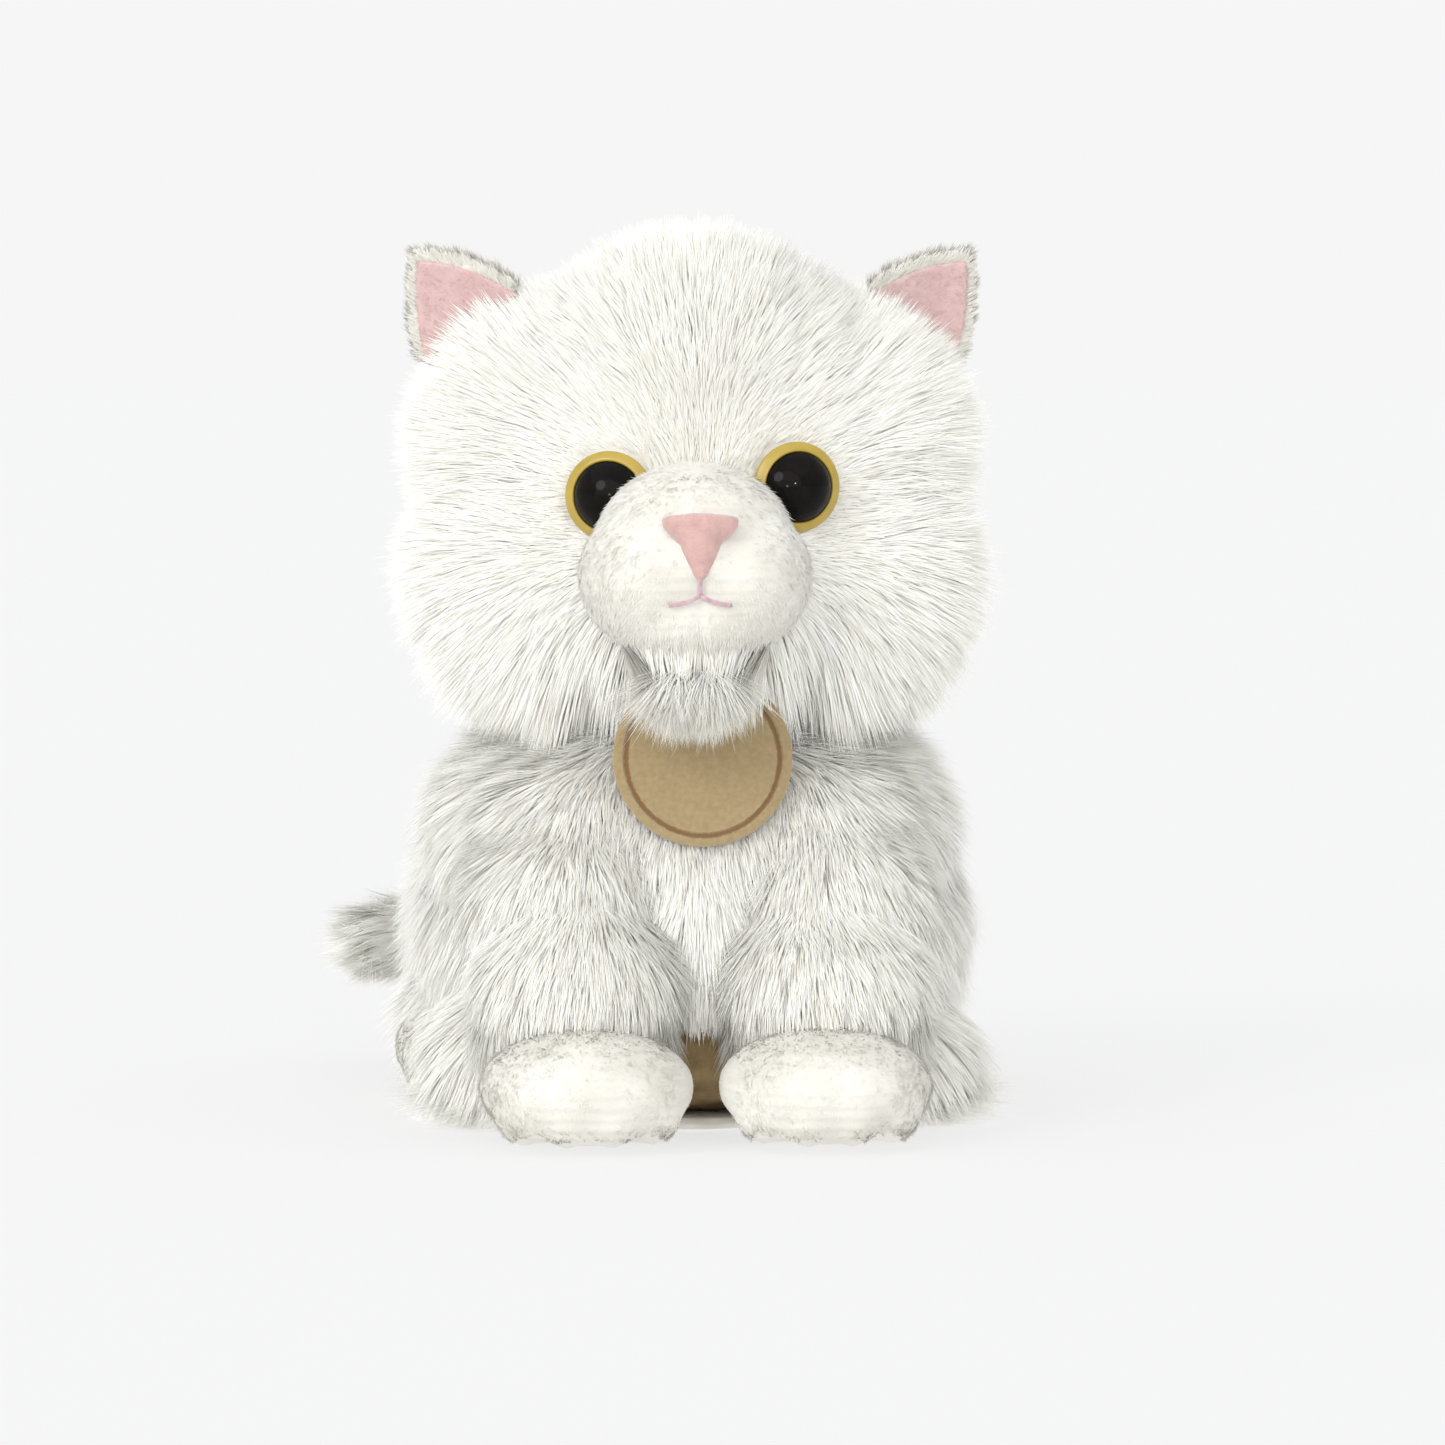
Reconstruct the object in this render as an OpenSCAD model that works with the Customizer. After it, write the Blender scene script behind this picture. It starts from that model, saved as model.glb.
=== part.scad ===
// Crouching long-haired plush cat: sewn pile-fabric skins over fibre stuffing,
// plastic safety eyes, flocked nose, a hanging suede medallion and a pellet bag.
// Frame: millimetres, +Z up, origin on the floor under the belly panel.
// The cat faces -Y, so its own left side is +X.

/* [Pile and clearance] */
// Thickness of the long pile and its backing on head and body
pile = 9; // [6:0.5:11]
// Thickness of the short pile on muzzle, legs and paws
short_pile = 5; // [3:0.5:6]
// Gap between a skin and the stuffing inside it
fill_gap = 0.2; // [0.1:0.1:0.5]
// Gap between two bodies that move on each other
move_gap = 0.6; // [0.4:0.1:1]

/* [Torso] */
// Width of the chest
chest_w = 108; // [100:1:114]
// Height of the chest above the floor
chest_top = 88; // [84:1:89]
// Width over the rump
rump_w = 104; // [98:1:108]
// Distance from the neck plane back to the end of the rump
rump_back = 102; // [98:1:104]
// Length of the oval belly panel
belly_l = 116; // [100:1:120]
// Width of the oval belly panel
belly_w = 66; // [56:1:68]

/* [Head] */
// Width of the head
head_w = 116; // [110:1:122]
// Depth of the head from face to nape
head_d = 92; // [88:1:96]
// Height of the head
head_h = 96; // [94:1:100]
// Height of the middle of the head above the floor
head_z = 136; // [135:1:140]
// Radius of the stuffed neck
neck_r = 23; // [20:0.5:24]
// Width of the muzzle
muzzle_w = 46; // [42:1:50]
// Height of the muzzle
muzzle_h = 42; // [38:1:44]

/* [Face] */
// Diameter of the yellow eye base
iris_d = 18.6; // [16:0.2:20]
// Diameter of the black pupil dome
pupil_d = 14.6; // [12:0.2:15.6]
// Distance from the middle of the face to each eye
eye_x = 20.2; // [18:0.2:22]
// Height of the cat's right eye
eye_z_right = 133; // [130:0.5:137]
// Height of the cat's left eye, set a little higher by hand sewing
eye_z_left = 135; // [130:0.5:137]
// Width of the flocked nose
nose_w = 15.6; // [12:0.2:18]
// Height of the flocked nose
nose_h = 13; // [10:0.2:15]

/* [Ears] */
// Width of an ear at its seam
ear_w = 28; // [24:1:32]
// Height of an ear above its seam
ear_h = 20.5; // [18:0.5:24]
// Radius of an ear's gently rounded edges
ear_edge_r = 45; // [30:1:80]
// Outward lean of an ear
ear_lean = 38; // [34:1:42]
// Outward turn of an ear's opening
ear_turn = 18; // [10:1:24]

/* [Legs and tail] */
// Width of a front paw
paw_w = 45; // [40:1:47]
// Length of a front paw
paw_l = 52; // [48:1:56]
// Height of a front paw
paw_h = 25; // [22:1:27]
// Height and length of a haunch, which is round seen from the side
haunch_d = 68; // [60:1:70]
// Thickness of a haunch
haunch_t = 40; // [34:1:42]
// Thickness of the tail
tail_d = 24; // [20:1:25]

/* [Medallion] */
// Diameter of the suede medallion
tag_d = 37; // [34:0.5:38]
// Thickness of the suede medallion
tag_t = 1.8; // [1.2:0.1:2.4]
// Lean of the medallion, lower edge forward
tag_lean = 12; // [8:1:14]

/* [Hidden] */

LEFT = 1;
RIGHT = -1;
fine = 64;
medium = 48;
big = 600;
unit_r = 50;

fur = "#EFEEE7";
short_fur = "#E9E6DC";
fill = "#F7F7F5";
pink = "#E3C6C4";
suede = "#BFAD83";

// Torso: chest, bib, rump, a flat-bottomed base and a shoulder on each side.
chest = [[0, -2, chest_top - 42], [chest_w / 2, 44, 42]];
bib = [[0, -24, 66], [44, 24, 20]];
rump = [[0, rump_back - 50, 44], [rump_w / 2, 50, 42]];
base = [[0, 26, 14], [46, 72, 22]];
shoulders = [[30, 0, 61.5], [27, 36, 23.5]];
belly_c = [0, 28];
belly_t = 3;
seam_gap = 0.2;
pellets = [[0, 30, 20], [21, 38, 10.5]];

// Head and neck.
neck = [0, -8, 92];
head = [[0, -10, head_z], [head_w / 2, head_d / 2, head_h / 2]];
cheek = [[24, -12, head_z - 20], [34, 34, 28]];
muzzle = [[0, -58, head_z - 17], [muzzle_w / 2, 20, muzzle_h / 2]];
muzzle_turn = [90, 90, 0];
forehead_w = 34;
forehead_z = head_z + 8;

// Eyes: a base cap, a proud pupil cap, a shank and a washer behind the cloth.
eye_sink = 3;
iris_rise = 3;
iris_back = 1.5;
pupil_floor = 0.8;
pupil_rise = 4;
shank_r = 2.2;
shank_l = 14;
washer_r = 9;
washer_t = 1.6;
washer_z = -10.4;

// Nose and mouth.
nose_top_z = 130;
nose_y = -75;
nose_t = 4.5;
nose_corner_r = 2.4;
thread_r = 0.5;
mouth_z = 113.4;
mouth_reach = 6.2;
mouth_drop = 1.8;

// Ears: a cupped flap on a rolled seam.
ear_cup_r = 45;
ear_back_t = 3;
ear_lining_t = 1.2;
ear_root_r = 2.6;
ear_root_l = 24;
ear_x = 45.4;
ear_y = -8;
ear_z = 168;

// Legs.
shoulder = [27, -30, 44];
shoulder_r = 20;
forearm = [[26, -44, 32], [21, 21, 21]];
paw = [[25, -60, paw_h / 2], [paw_w / 2, paw_l / 2, paw_h / 2]];
lift_steps = [0, 20];
hip = [38, 55, 35];
haunch = [hip, [haunch_t / 2, haunch_d / 2, haunch_d / 2]];
foot = [[50, 36, 11], [13, 28, 10]];
kick_steps = [0, 15];
toe_sweep = [[50, 20, 18.5], [14.8, 19, 17]];

// Tail: an arc of a circle that starts at the tail ball.
tail_root = [0, 104, 30];
tail_arc_c = [-32, 62, 30];
tail_arc_r = norm(tail_root - tail_arc_c);
tail_from = atan2(tail_root[1] - tail_arc_c[1], tail_root[0] - tail_arc_c[0]);
tail_to = 120;
tail_tip_l = 16;
tail_ball_r = tail_d / 2 + 1.2;
tail_tip_r = tail_d / 2 + 0.6;

// Medallion.
tag_c = [0, -47.5, 79.3];
tag_hole_up = 14.6;
tag_hole_r = 2.2;
thread_y = [-47.4, -39.5];
tag_hole = [0, tag_c[1] + tag_hole_up * sin(tag_lean), tag_c[2] + tag_hole_up * cos(tag_lean)];
thread_end = [0, -36.5, 78];

// An ellipsoid given as [centre, half sizes], grown by g on every side.
// Its poles and seam line are turned by the angles given, away from any cut.
module egg(e, g = 0, turn = [0, 0, 0]) {
    translate(e[0])
        scale([(e[1][0] + g) / unit_r, (e[1][1] + g) / unit_r, (e[1][2] + g) / unit_r])
            rotate(turn)
                sphere(r = unit_r, $fn = fine);
}

// The same ellipsoid moved to the chosen side.
module side_egg(side, e, g = 0) {
    egg([[side * e[0][0], e[0][1], e[0][2]], e[1]], g, [0, 0, side > 0 ? 180 : 0]);
}

// A straight round bar between two points.
module bar(a, b, r) {
    v = b - a;
    translate(a)
        rotate([0, acos(v[2] / norm(v)), atan2(v[1], v[0])])
            cylinder(r = r, h = norm(v), $fn = 24);
}

// Everything above the floor.
module above_floor() {
    translate([-big / 2, -big / 2, 0]) cube([big, big, big]);
}

// Everything on one side of the middle seam.
module half_space(side) {
    translate([side > 0 ? 0 : -big, -big / 2, -big / 2]) cube([big, big, big]);
}

// The belly oval, from under the floor up to a height.
module belly_oval(g, h) {
    translate([belly_c[0], belly_c[1], -belly_t])
        linear_extrude(height = h + belly_t)
            scale([(belly_w / 2 + g) / unit_r, (belly_l / 2 + g) / unit_r])
                circle(r = unit_r, $fn = 96);
}

module torso_form(sides, g) {
    intersection() {
        union() {
            egg(chest, g);
            egg(bib, g);
            egg(rump, g);
            egg(base, g);
            for (side = sides) side_egg(side, shoulders, g);
        }
        translate([0, 0, -g]) above_floor();
    }
}

// Swept room for a front leg, all through its lift.
module front_leg_room(side) {
    s = [side * shoulder[0], shoulder[1], shoulder[2]];
    translate(s) sphere(r = shoulder_r + move_gap, $fn = fine);
    for (a = lift_steps)
        translate(s) rotate([-a, 0, 0]) translate(-s) {
            side_egg(side, forearm, move_gap + 0.4);
            side_egg(side, paw, move_gap + 0.4);
        }
}

// Swept room for a haunch and its foot, all through its kick.
module hind_leg_room(side) {
    s = [side * hip[0], hip[1], hip[2]];
    side_egg(side, haunch, move_gap);
    for (a = kick_steps)
        translate(s) rotate([-a, 0, 0]) translate(-s) side_egg(side, foot, move_gap + 0.4);
    side_egg(side, toe_sweep);
}

module tail_tube(r) {
    translate(tail_arc_c)
        rotate([0, 0, tail_from])
            rotate_extrude(angle = tail_to - tail_from, $fn = 96)
                translate([tail_arc_r, 0]) circle(r = r, $fn = medium);
}

module tail_tip(g) {
    translate(tail_arc_c)
        rotate([0, 0, tail_to])
            translate([tail_arc_r, 0, 0])
                scale([(tail_tip_r + g) / unit_r, (tail_tip_l + g) / unit_r, (tail_tip_r + g) / unit_r])
                    sphere(r = unit_r, $fn = fine);
}

module neck_room() {
    translate(neck) sphere(r = neck_r + move_gap, $fn = fine);
}

module tail_ball_room() {
    translate(tail_root) sphere(r = tail_ball_r + move_gap, $fn = fine);
}

module torso_skin(side) {
    color(fur) difference() {
        intersection() {
            torso_form([side], 0);
            translate([side * seam_gap / 4, 0, 0]) half_space(side);
        }
        torso_form([side], -pile);
        belly_oval(seam_gap, belly_t + seam_gap);
        neck_room();
        front_leg_room(side);
        hind_leg_room(side);
        tail_ball_room();
        if (side == RIGHT) tail_tube(tail_d / 2 + move_gap);
        if (side == LEFT) care_label_block(0.1);
        tag_thread_path(thread_r + 0.1);
    }
}

module torso_stuffing() {
    color(fill) difference() {
        torso_form([LEFT, RIGHT], -pile - fill_gap);
        egg(pellets, fill_gap);
        neck_room();
        for (side = [LEFT, RIGHT]) {
            front_leg_room(side);
            hind_leg_room(side);
        }
        tail_ball_room();
    }
}

module belly_panel() {
    color(short_fur) intersection() {
        belly_oval(0, belly_t);
        above_floor();
    }
}

module pellet_bag() {
    color(fill) egg(pellets);
}

module care_label_block(g) {
    translate([30 - g, 83, 12 - g]) cube([14 + 2 * g, 26, 0.6 + 2 * g]);
}

module care_label() {
    color("white") difference() {
        care_label_block(0);
        torso_form([LEFT], -pile);
    }
}

module neck_gusset() {
    color(short_fur) translate(neck) sphere(r = neck_r, $fn = fine);
}

// Places its children in an eye's own frame: origin on the face, +Z outward.
module at_eye(side) {
    z = side > 0 ? eye_z_left : eye_z_right;
    h = head[1];
    dx = side * eye_x;
    dz = z - head[0][2];
    dy = -h[1] * sqrt(1 - pow(dx / h[0], 2) - pow(dz / h[2], 2));
    n = [dx / pow(h[0], 2), dy / pow(h[1], 2), dz / pow(h[2], 2)];
    u = n / norm(n);
    translate(head[0] + [dx, dy, dz] - eye_sink * u)
        rotate([0, acos(u[2]), atan2(u[1], u[0])])
            children();
}

// A spherical cap of base radius a and height h standing on z = 0.
module cap(a, h) {
    r = (a * a + h * h) / (2 * h);
    intersection() {
        translate([0, 0, h - r]) sphere(r = r, $fn = fine);
        cylinder(r = a + 1, h = h + 1, $fn = medium);
    }
}

module eye_room(g) {
    translate([0, 0, -iris_back - g]) cylinder(r = iris_d / 2 + g, h = 30, $fn = medium);
    translate([0, 0, -shank_l - g]) cylinder(r = shank_r + g, h = shank_l, $fn = medium);
}

module washer_room(g) {
    translate([0, 0, washer_z - g]) cylinder(r = washer_r + g, h = washer_t + 2 * g, $fn = medium);
}

module eye_iris(side) {
    color("#BFAD5F") at_eye(side) difference() {
        union() {
            cap(iris_d / 2, iris_rise);
            translate([0, 0, -iris_back]) cylinder(r = iris_d / 2, h = iris_back, $fn = medium);
            translate([0, 0, -shank_l]) cylinder(r = shank_r, h = shank_l, $fn = medium);
        }
        translate([0, 0, pupil_floor]) cylinder(r = pupil_d / 2 + 0.05, h = 10, $fn = medium);
    }
}

module eye_pupil(side) {
    color("#15130F") at_eye(side) translate([0, 0, pupil_floor]) cap(pupil_d / 2, pupil_rise);
}

module eye_washer(side) {
    color("#DCDCDC") at_eye(side) difference() {
        translate([0, 0, washer_z]) cylinder(r = washer_r, h = washer_t, $fn = medium);
        cylinder(r = shank_r + 0.05, h = 60, center = true, $fn = medium);
    }
}

// The whole way through the muzzle in line with an eye.
module eye_tunnel(g) {
    translate([0, 0, -shank_l]) cylinder(r = iris_d / 2 + g, h = 40, $fn = medium);
}

module both_eye_tunnels(g) {
    at_eye(LEFT) eye_tunnel(g);
    at_eye(RIGHT) eye_tunnel(g);
}

module both_eye_rooms(g) {
    at_eye(LEFT) eye_room(g);
    at_eye(RIGHT) eye_room(g);
}

module nose_block(g) {
    translate([0, nose_y, nose_top_z]) rotate([90, 0, 0]) linear_extrude(height = nose_t + g)
        hull() {
            for (s = [-1, 1])
                translate([s * (nose_w / 2 - nose_corner_r), -nose_corner_r])
                    circle(r = nose_corner_r + g, $fn = 24);
            translate([0, -nose_h + nose_corner_r / 2]) circle(r = nose_corner_r / 2 + g, $fn = 24);
        }
}

// Height of the muzzle's front face at a place on it.
function muzzle_y(x, z) =
    muzzle[0][1] - muzzle[1][1]
        * sqrt(1 - pow(x / muzzle[1][0], 2) - pow((z - muzzle[0][2]) / muzzle[1][2], 2));

module mouth_path(r) {
    fork = [0, muzzle_y(0, mouth_z), mouth_z];
    top = [0, muzzle_y(0, nose_top_z - nose_h - 0.4), nose_top_z - nose_h - 0.4];
    bar(fork, top, r);
    translate(fork) sphere(r = 1.3 * r, $fn = 24);
    for (s = [-1, 1])
        bar(fork, [s * mouth_reach, muzzle_y(mouth_reach, mouth_z - mouth_drop), mouth_z - mouth_drop], r);
}

module forehead_zone(g) {
    translate([-forehead_w / 2 - g, -big, forehead_z - g]) cube([forehead_w + 2 * g, big - 10, big]);
}

// Head: a skull and a full cheek on each side.
module head_form(sides, g) {
    egg(head, g);
    for (side = sides) side_egg(side, cheek, g);
}

module head_shell(sides) {
    difference() {
        head_form(sides, 0);
        head_form(sides, -pile);
        egg(muzzle, fill_gap, muzzle_turn);
        neck_room();
        both_eye_rooms(0.1);
        ear_groove(LEFT);
        ear_groove(RIGHT);
    }
}

module head_skin(side) {
    color(fur) difference() {
        intersection() {
            head_shell([side]);
            translate([side * seam_gap / 4, 0, 0]) half_space(side);
        }
        forehead_zone(seam_gap / 2);
    }
}

module forehead_gusset() {
    color(fur) intersection() {
        head_shell([]);
        forehead_zone(0);
    }
}

module head_stuffing() {
    color(fill) difference() {
        head_form([LEFT, RIGHT], -pile - fill_gap);
        neck_room();
        both_eye_rooms(0.1);
        at_eye(LEFT) washer_room(0.1);
        at_eye(RIGHT) washer_room(0.1);
    }
}

module muzzle_skin() {
    color(short_fur) difference() {
        egg(muzzle, 0, muzzle_turn);
        egg(muzzle, -short_pile, muzzle_turn);
        egg(head, -pile);
        both_eye_tunnels(0.1);
        nose_block(0.1);
        mouth_path(thread_r + 0.1);
    }
}

module muzzle_stuffing() {
    color(fill) difference() {
        egg(muzzle, -short_pile - fill_gap, muzzle_turn);
        egg(head, -pile);
        both_eye_tunnels(0.1);
    }
}

module nose() {
    color("#E8C7C2") nose_block(0);
}

module mouth_stitch() {
    color("#CAB5B5") mouth_path(thread_r);
}

// Places its children in an ear's own frame: X along the seam, +Z to the tip, -Y forward.
module at_ear(side) {
    translate([side * ear_x, ear_y, ear_z])
        rotate([0, side * ear_lean, 0])
            rotate([0, 0, side * ear_turn])
                children();
}

module ear_groove(side) {
    at_ear(side) rotate([0, 90, 0])
        cylinder(r = ear_root_r + move_gap, h = ear_root_l + 2 * move_gap, center = true, $fn = medium);
}

// The ear's outline, two arcs that meet at the tip.
module ear_outline(g) {
    half = ear_w / 2;
    edge = norm([half, ear_h]);
    reach = sqrt(pow(ear_edge_r, 2) - pow(edge / 2, 2));
    cx = reach * ear_h / edge - half / 2;
    cz = ear_h / 2 - reach * half / edge;
    rotate([90, 0, 0]) linear_extrude(height = 40, center = true) intersection() {
        translate([cx, cz]) circle(r = ear_edge_r + g, $fn = 96);
        translate([-cx, cz]) circle(r = ear_edge_r + g, $fn = 96);
        translate([-ear_w, 1]) square([2 * ear_w, 2 * ear_w]);
    }
}

// A cupped layer of the ear between two radii of the cup.
module ear_layer(inner, outer, g) {
    intersection() {
        ear_outline(g);
        translate([0, ear_back_t / 2 - ear_cup_r, ear_h / 3]) difference() {
            sphere(r = outer, $fn = 96);
            sphere(r = inner, $fn = 96);
        }
    }
}

module ear_back(side) {
    color(fur) at_ear(side) union() {
        ear_layer(ear_cup_r - ear_back_t, ear_cup_r, 0);
        rotate([0, 90, 0]) cylinder(r = ear_root_r, h = ear_root_l, center = true, $fn = medium);
    }
}

module ear_lining(side) {
    color(pink) at_ear(side) difference() {
        ear_layer(ear_cup_r - ear_back_t - ear_lining_t, ear_cup_r - ear_back_t - 0.05, -2.5);
        rotate([0, 90, 0]) cylinder(r = ear_root_r + 0.1, h = ear_w, center = true, $fn = medium);
    }
}

module front_leg_form(side, g) {
    translate([side * shoulder[0], shoulder[1], shoulder[2]]) sphere(r = shoulder_r + g, $fn = fine);
    side_egg(side, forearm, g);
}

module front_leg_skin(side) {
    color(fur) difference() {
        front_leg_form(side, 0);
        front_leg_form(side, -short_pile);
        side_egg(side, paw, seam_gap);
    }
}

module front_leg_stuffing(side) {
    color(fill) difference() {
        front_leg_form(side, -short_pile - fill_gap);
        side_egg(side, paw, seam_gap);
    }
}

module paw_skin(side) {
    color(short_fur) difference() {
        side_egg(side, paw);
        side_egg(side, paw, -short_pile);
    }
}

module paw_pellets(side) {
    color("#D9D4C4") side_egg(side, paw, -short_pile - fill_gap);
}

module haunch_skin(side) {
    color(fur) difference() {
        side_egg(side, haunch);
        side_egg(side, haunch, -short_pile);
        side_egg(side, foot, seam_gap);
    }
}

module haunch_stuffing(side) {
    color(fill) difference() {
        side_egg(side, haunch, -short_pile - fill_gap);
        side_egg(side, foot, seam_gap);
    }
}

module hind_foot(side) {
    color(short_fur) side_egg(side, foot);
}

module tail_form(g) {
    translate(tail_root) sphere(r = tail_ball_r + g, $fn = fine);
    tail_tube(tail_d / 2 + g);
    tail_tip(g);
}

module tail_skin() {
    color(fur) difference() {
        tail_form(0);
        tail_form(-short_pile);
    }
}

module tail_stuffing() {
    color(fill) tail_form(-short_pile - fill_gap);
}

module tag_disc() {
    color(suede) translate(tag_c) rotate([90 - tag_lean, 0, 0]) difference() {
        cylinder(r = tag_d / 2, h = tag_t, center = true, $fn = 96);
        translate([0, tag_hole_up, 0]) cylinder(r = tag_hole_r, h = 3 * tag_t, center = true, $fn = medium);
    }
}

module tag_thread_path(r) {
    bend = [0, thread_y[1], tag_hole[2]];
    bar([0, thread_y[0], tag_hole[2]], bend, r);
    translate(bend) sphere(r = r, $fn = 24);
    bar(bend, thread_end, r);
}

module tag_thread() {
    color("#E8E4D8") tag_thread_path(thread_r);
}

torso_skin(LEFT);  // torso_skin_left
torso_skin(RIGHT);  // torso_skin_right
torso_stuffing();
belly_panel();
pellet_bag();
care_label();
neck_gusset();
head_skin(LEFT);  // head_skin_left
head_skin(RIGHT);  // head_skin_right
forehead_gusset();
head_stuffing();
muzzle_skin();
muzzle_stuffing();
eye_iris(LEFT);  // eye_iris_left
eye_iris(RIGHT);  // eye_iris_right
eye_pupil(LEFT);  // eye_pupil_left
eye_pupil(RIGHT);  // eye_pupil_right
eye_washer(LEFT);  // eye_washer_left
eye_washer(RIGHT);  // eye_washer_right
nose();
mouth_stitch();
ear_back(LEFT);  // ear_back_left
ear_back(RIGHT);  // ear_back_right
ear_lining(LEFT);  // ear_lining_left
ear_lining(RIGHT);  // ear_lining_right
front_leg_skin(LEFT);  // front_leg_skin_left
front_leg_skin(RIGHT);  // front_leg_skin_right
front_leg_stuffing(LEFT);  // front_leg_stuffing_left
front_leg_stuffing(RIGHT);  // front_leg_stuffing_right
paw_skin(LEFT);  // paw_skin_left
paw_skin(RIGHT);  // paw_skin_right
paw_pellets(LEFT);  // paw_pellets_left
paw_pellets(RIGHT);  // paw_pellets_right
haunch_skin(LEFT);  // haunch_skin_left
haunch_skin(RIGHT);  // haunch_skin_right
haunch_stuffing(LEFT);  // haunch_stuffing_left
haunch_stuffing(RIGHT);  // haunch_stuffing_right
hind_foot(LEFT);  // hind_foot_left
hind_foot(RIGHT);  // hind_foot_right
tail_skin();
tail_stuffing();
tag_disc();
tag_thread();
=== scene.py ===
"""Looks of a sitting plush cat, built around its packed CAD frame."""

import math

import bmesh
import bpy
import numpy as np
from mathutils import Matrix, Vector, kdtree
from mathutils.bvhtree import BVHTree


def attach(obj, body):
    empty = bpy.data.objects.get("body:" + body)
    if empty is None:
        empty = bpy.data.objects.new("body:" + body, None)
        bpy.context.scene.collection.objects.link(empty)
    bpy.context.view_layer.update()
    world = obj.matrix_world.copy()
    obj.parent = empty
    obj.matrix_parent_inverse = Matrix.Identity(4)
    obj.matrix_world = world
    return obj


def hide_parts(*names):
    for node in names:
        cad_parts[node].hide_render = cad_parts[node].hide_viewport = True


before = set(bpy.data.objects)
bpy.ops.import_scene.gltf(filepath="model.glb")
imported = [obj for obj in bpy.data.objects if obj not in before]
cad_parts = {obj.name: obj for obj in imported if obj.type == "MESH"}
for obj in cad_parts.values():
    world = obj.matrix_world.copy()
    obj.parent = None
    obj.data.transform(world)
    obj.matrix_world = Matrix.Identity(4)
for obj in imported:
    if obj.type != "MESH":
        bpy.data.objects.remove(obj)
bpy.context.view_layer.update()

bl_info = {
    "name": "Plush cat",
    "version": (1, 0, 0),
    "blender": (4, 5, 0),
    "location": "View3D > Sidebar > Plush cat",
    "description": "Builds the cloth, pile, eyes, nose, ears and medallion of a sitting plush cat",
    "category": "Object",
}

MM = 0.001
LEFT, RIGHT = 1, -1
SIDES = {"left": LEFT, "right": RIGHT}

# Places in the model's frame, in millimetres.
HEAD = np.array([[0, -10, 136], [58, 46, 48]], float)
NOSE_TIP = np.array([0, -72, 123], float)
EYE_X = 20.2
EYE_Z = {LEFT: 135.0, RIGHT: 133.0}
EYE_SINK = 3.0
IRIS_R, IRIS_RISE, IRIS_BACK = 9.3, 3.0, 1.5
PUPIL_R, PUPIL_FLOOR, PUPIL_RISE = 7.3, 0.8, 4.0
SHANK_R, SHANK_L = 2.2, 14.0
WASHER_R, WASHER_T, WASHER_Z = 9.0, 1.6, -10.4
NOSE_TOP, NOSE_H, NOSE_Y = 130.3, 13.8, -74.6
FACE_SHIFT = -2.0
MOUTH_Z, MOUTH_REACH, MOUTH_DROP = 113.6, 6.4, 2.0
EAR_PLACE = (45.4, -8.0, 168.0)
EAR_LEAN, EAR_TURN = 38.0, 18.0
EAR_W, EAR_H, EAR_EDGE_R = 28.0, 20.5, 45.0
NECK = (0, -8, 92)
TAIL_CENTRE = np.array([-32, 62, 30], float)
TAIL_R = math.hypot(32, 42)
TAIL_FROM, TAIL_TO = math.degrees(math.atan2(42, 32)), 120.0
TAG = (0.0, -47.5, 79.3)
TAG_R, TAG_T, TAG_LEAN = 18.5, 1.8, 12.0
TAG_HOLE_UP, TAG_HOLE_R = 14.6, 2.2
HIP = (38, 55, 35)


# ---------------------------------------------------------------- small tools
def linear(code):
    """An sRGB hex colour as linear red, green, blue and alpha."""
    parts = [int(code[i : i + 2], 16) / 255 for i in (1, 3, 5)]
    return [c / 12.92 if c <= 0.04045 else ((c + 0.055) / 1.055) ** 2.4 for c in parts] + [1.0]


def unit(rows):
    return rows / np.maximum(np.linalg.norm(rows, axis=-1, keepdims=True), 1e-9)


def step(low, high, value):
    """0 below low, 1 above high, smooth between."""
    t = np.clip((value - low) / (high - low), 0, 1)
    return t * t * (3 - 2 * t)


def pick_only(obj):
    if bpy.context.object and bpy.context.object.mode != "OBJECT":
        bpy.ops.object.mode_set(mode="OBJECT")
    bpy.ops.object.select_all(action="DESELECT")
    if obj is not None:
        obj.select_set(True)
        bpy.context.view_layer.objects.active = obj


def fix_place(obj):
    pick_only(obj)
    bpy.ops.object.transform_apply(location=True, rotation=True, scale=True)


def modify(obj, kind, **settings):
    """Adds one modifier and applies it."""
    pick_only(obj)
    m = obj.modifiers.new(kind.title(), kind)
    for key, value in settings.items():
        setattr(m, key, value)
    bpy.ops.object.modifier_apply(modifier=m.name)
    return obj


def smooth(obj):
    pick_only(obj)
    bpy.ops.object.shade_smooth()
    return obj


def outward(obj):
    """Merges doubles, then turns every face outward."""
    pick_only(obj)
    bpy.ops.object.mode_set(mode="EDIT")
    bpy.ops.mesh.select_all(action="SELECT")
    bpy.ops.mesh.remove_doubles(threshold=0.00001)
    bpy.ops.mesh.normals_make_consistent(inside=False)
    bpy.ops.object.mode_set(mode="OBJECT")
    return obj


def read_points(obj):
    co = np.empty(len(obj.data.vertices) * 3, np.float32)
    obj.data.vertices.foreach_get("co", co)
    return co.reshape(-1, 3).astype(float) / MM


def write_points(obj, points):
    obj.data.vertices.foreach_set("co", (points * MM).astype(np.float32).ravel())
    obj.data.update()


def read_normals(obj):
    n = np.empty(len(obj.data.vertices) * 3, np.float32)
    obj.data.vertex_normals.foreach_get("vector", n)
    return n.reshape(-1, 3).astype(float)


# ---------------------------------------------------------------- finishes
def add_node(tree, kind, settings=(), inputs=()):
    """Adds a node; a socket given as an input is linked, anything else is set."""
    node = tree.nodes.new(kind)
    for key, value in dict(settings).items():
        setattr(node, key, value)
    for key, value in dict(inputs).items():
        if isinstance(value, bpy.types.NodeSocket):
            tree.links.new(value, node.inputs[key])
        else:
            node.inputs[key].default_value = value
    return node


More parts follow.
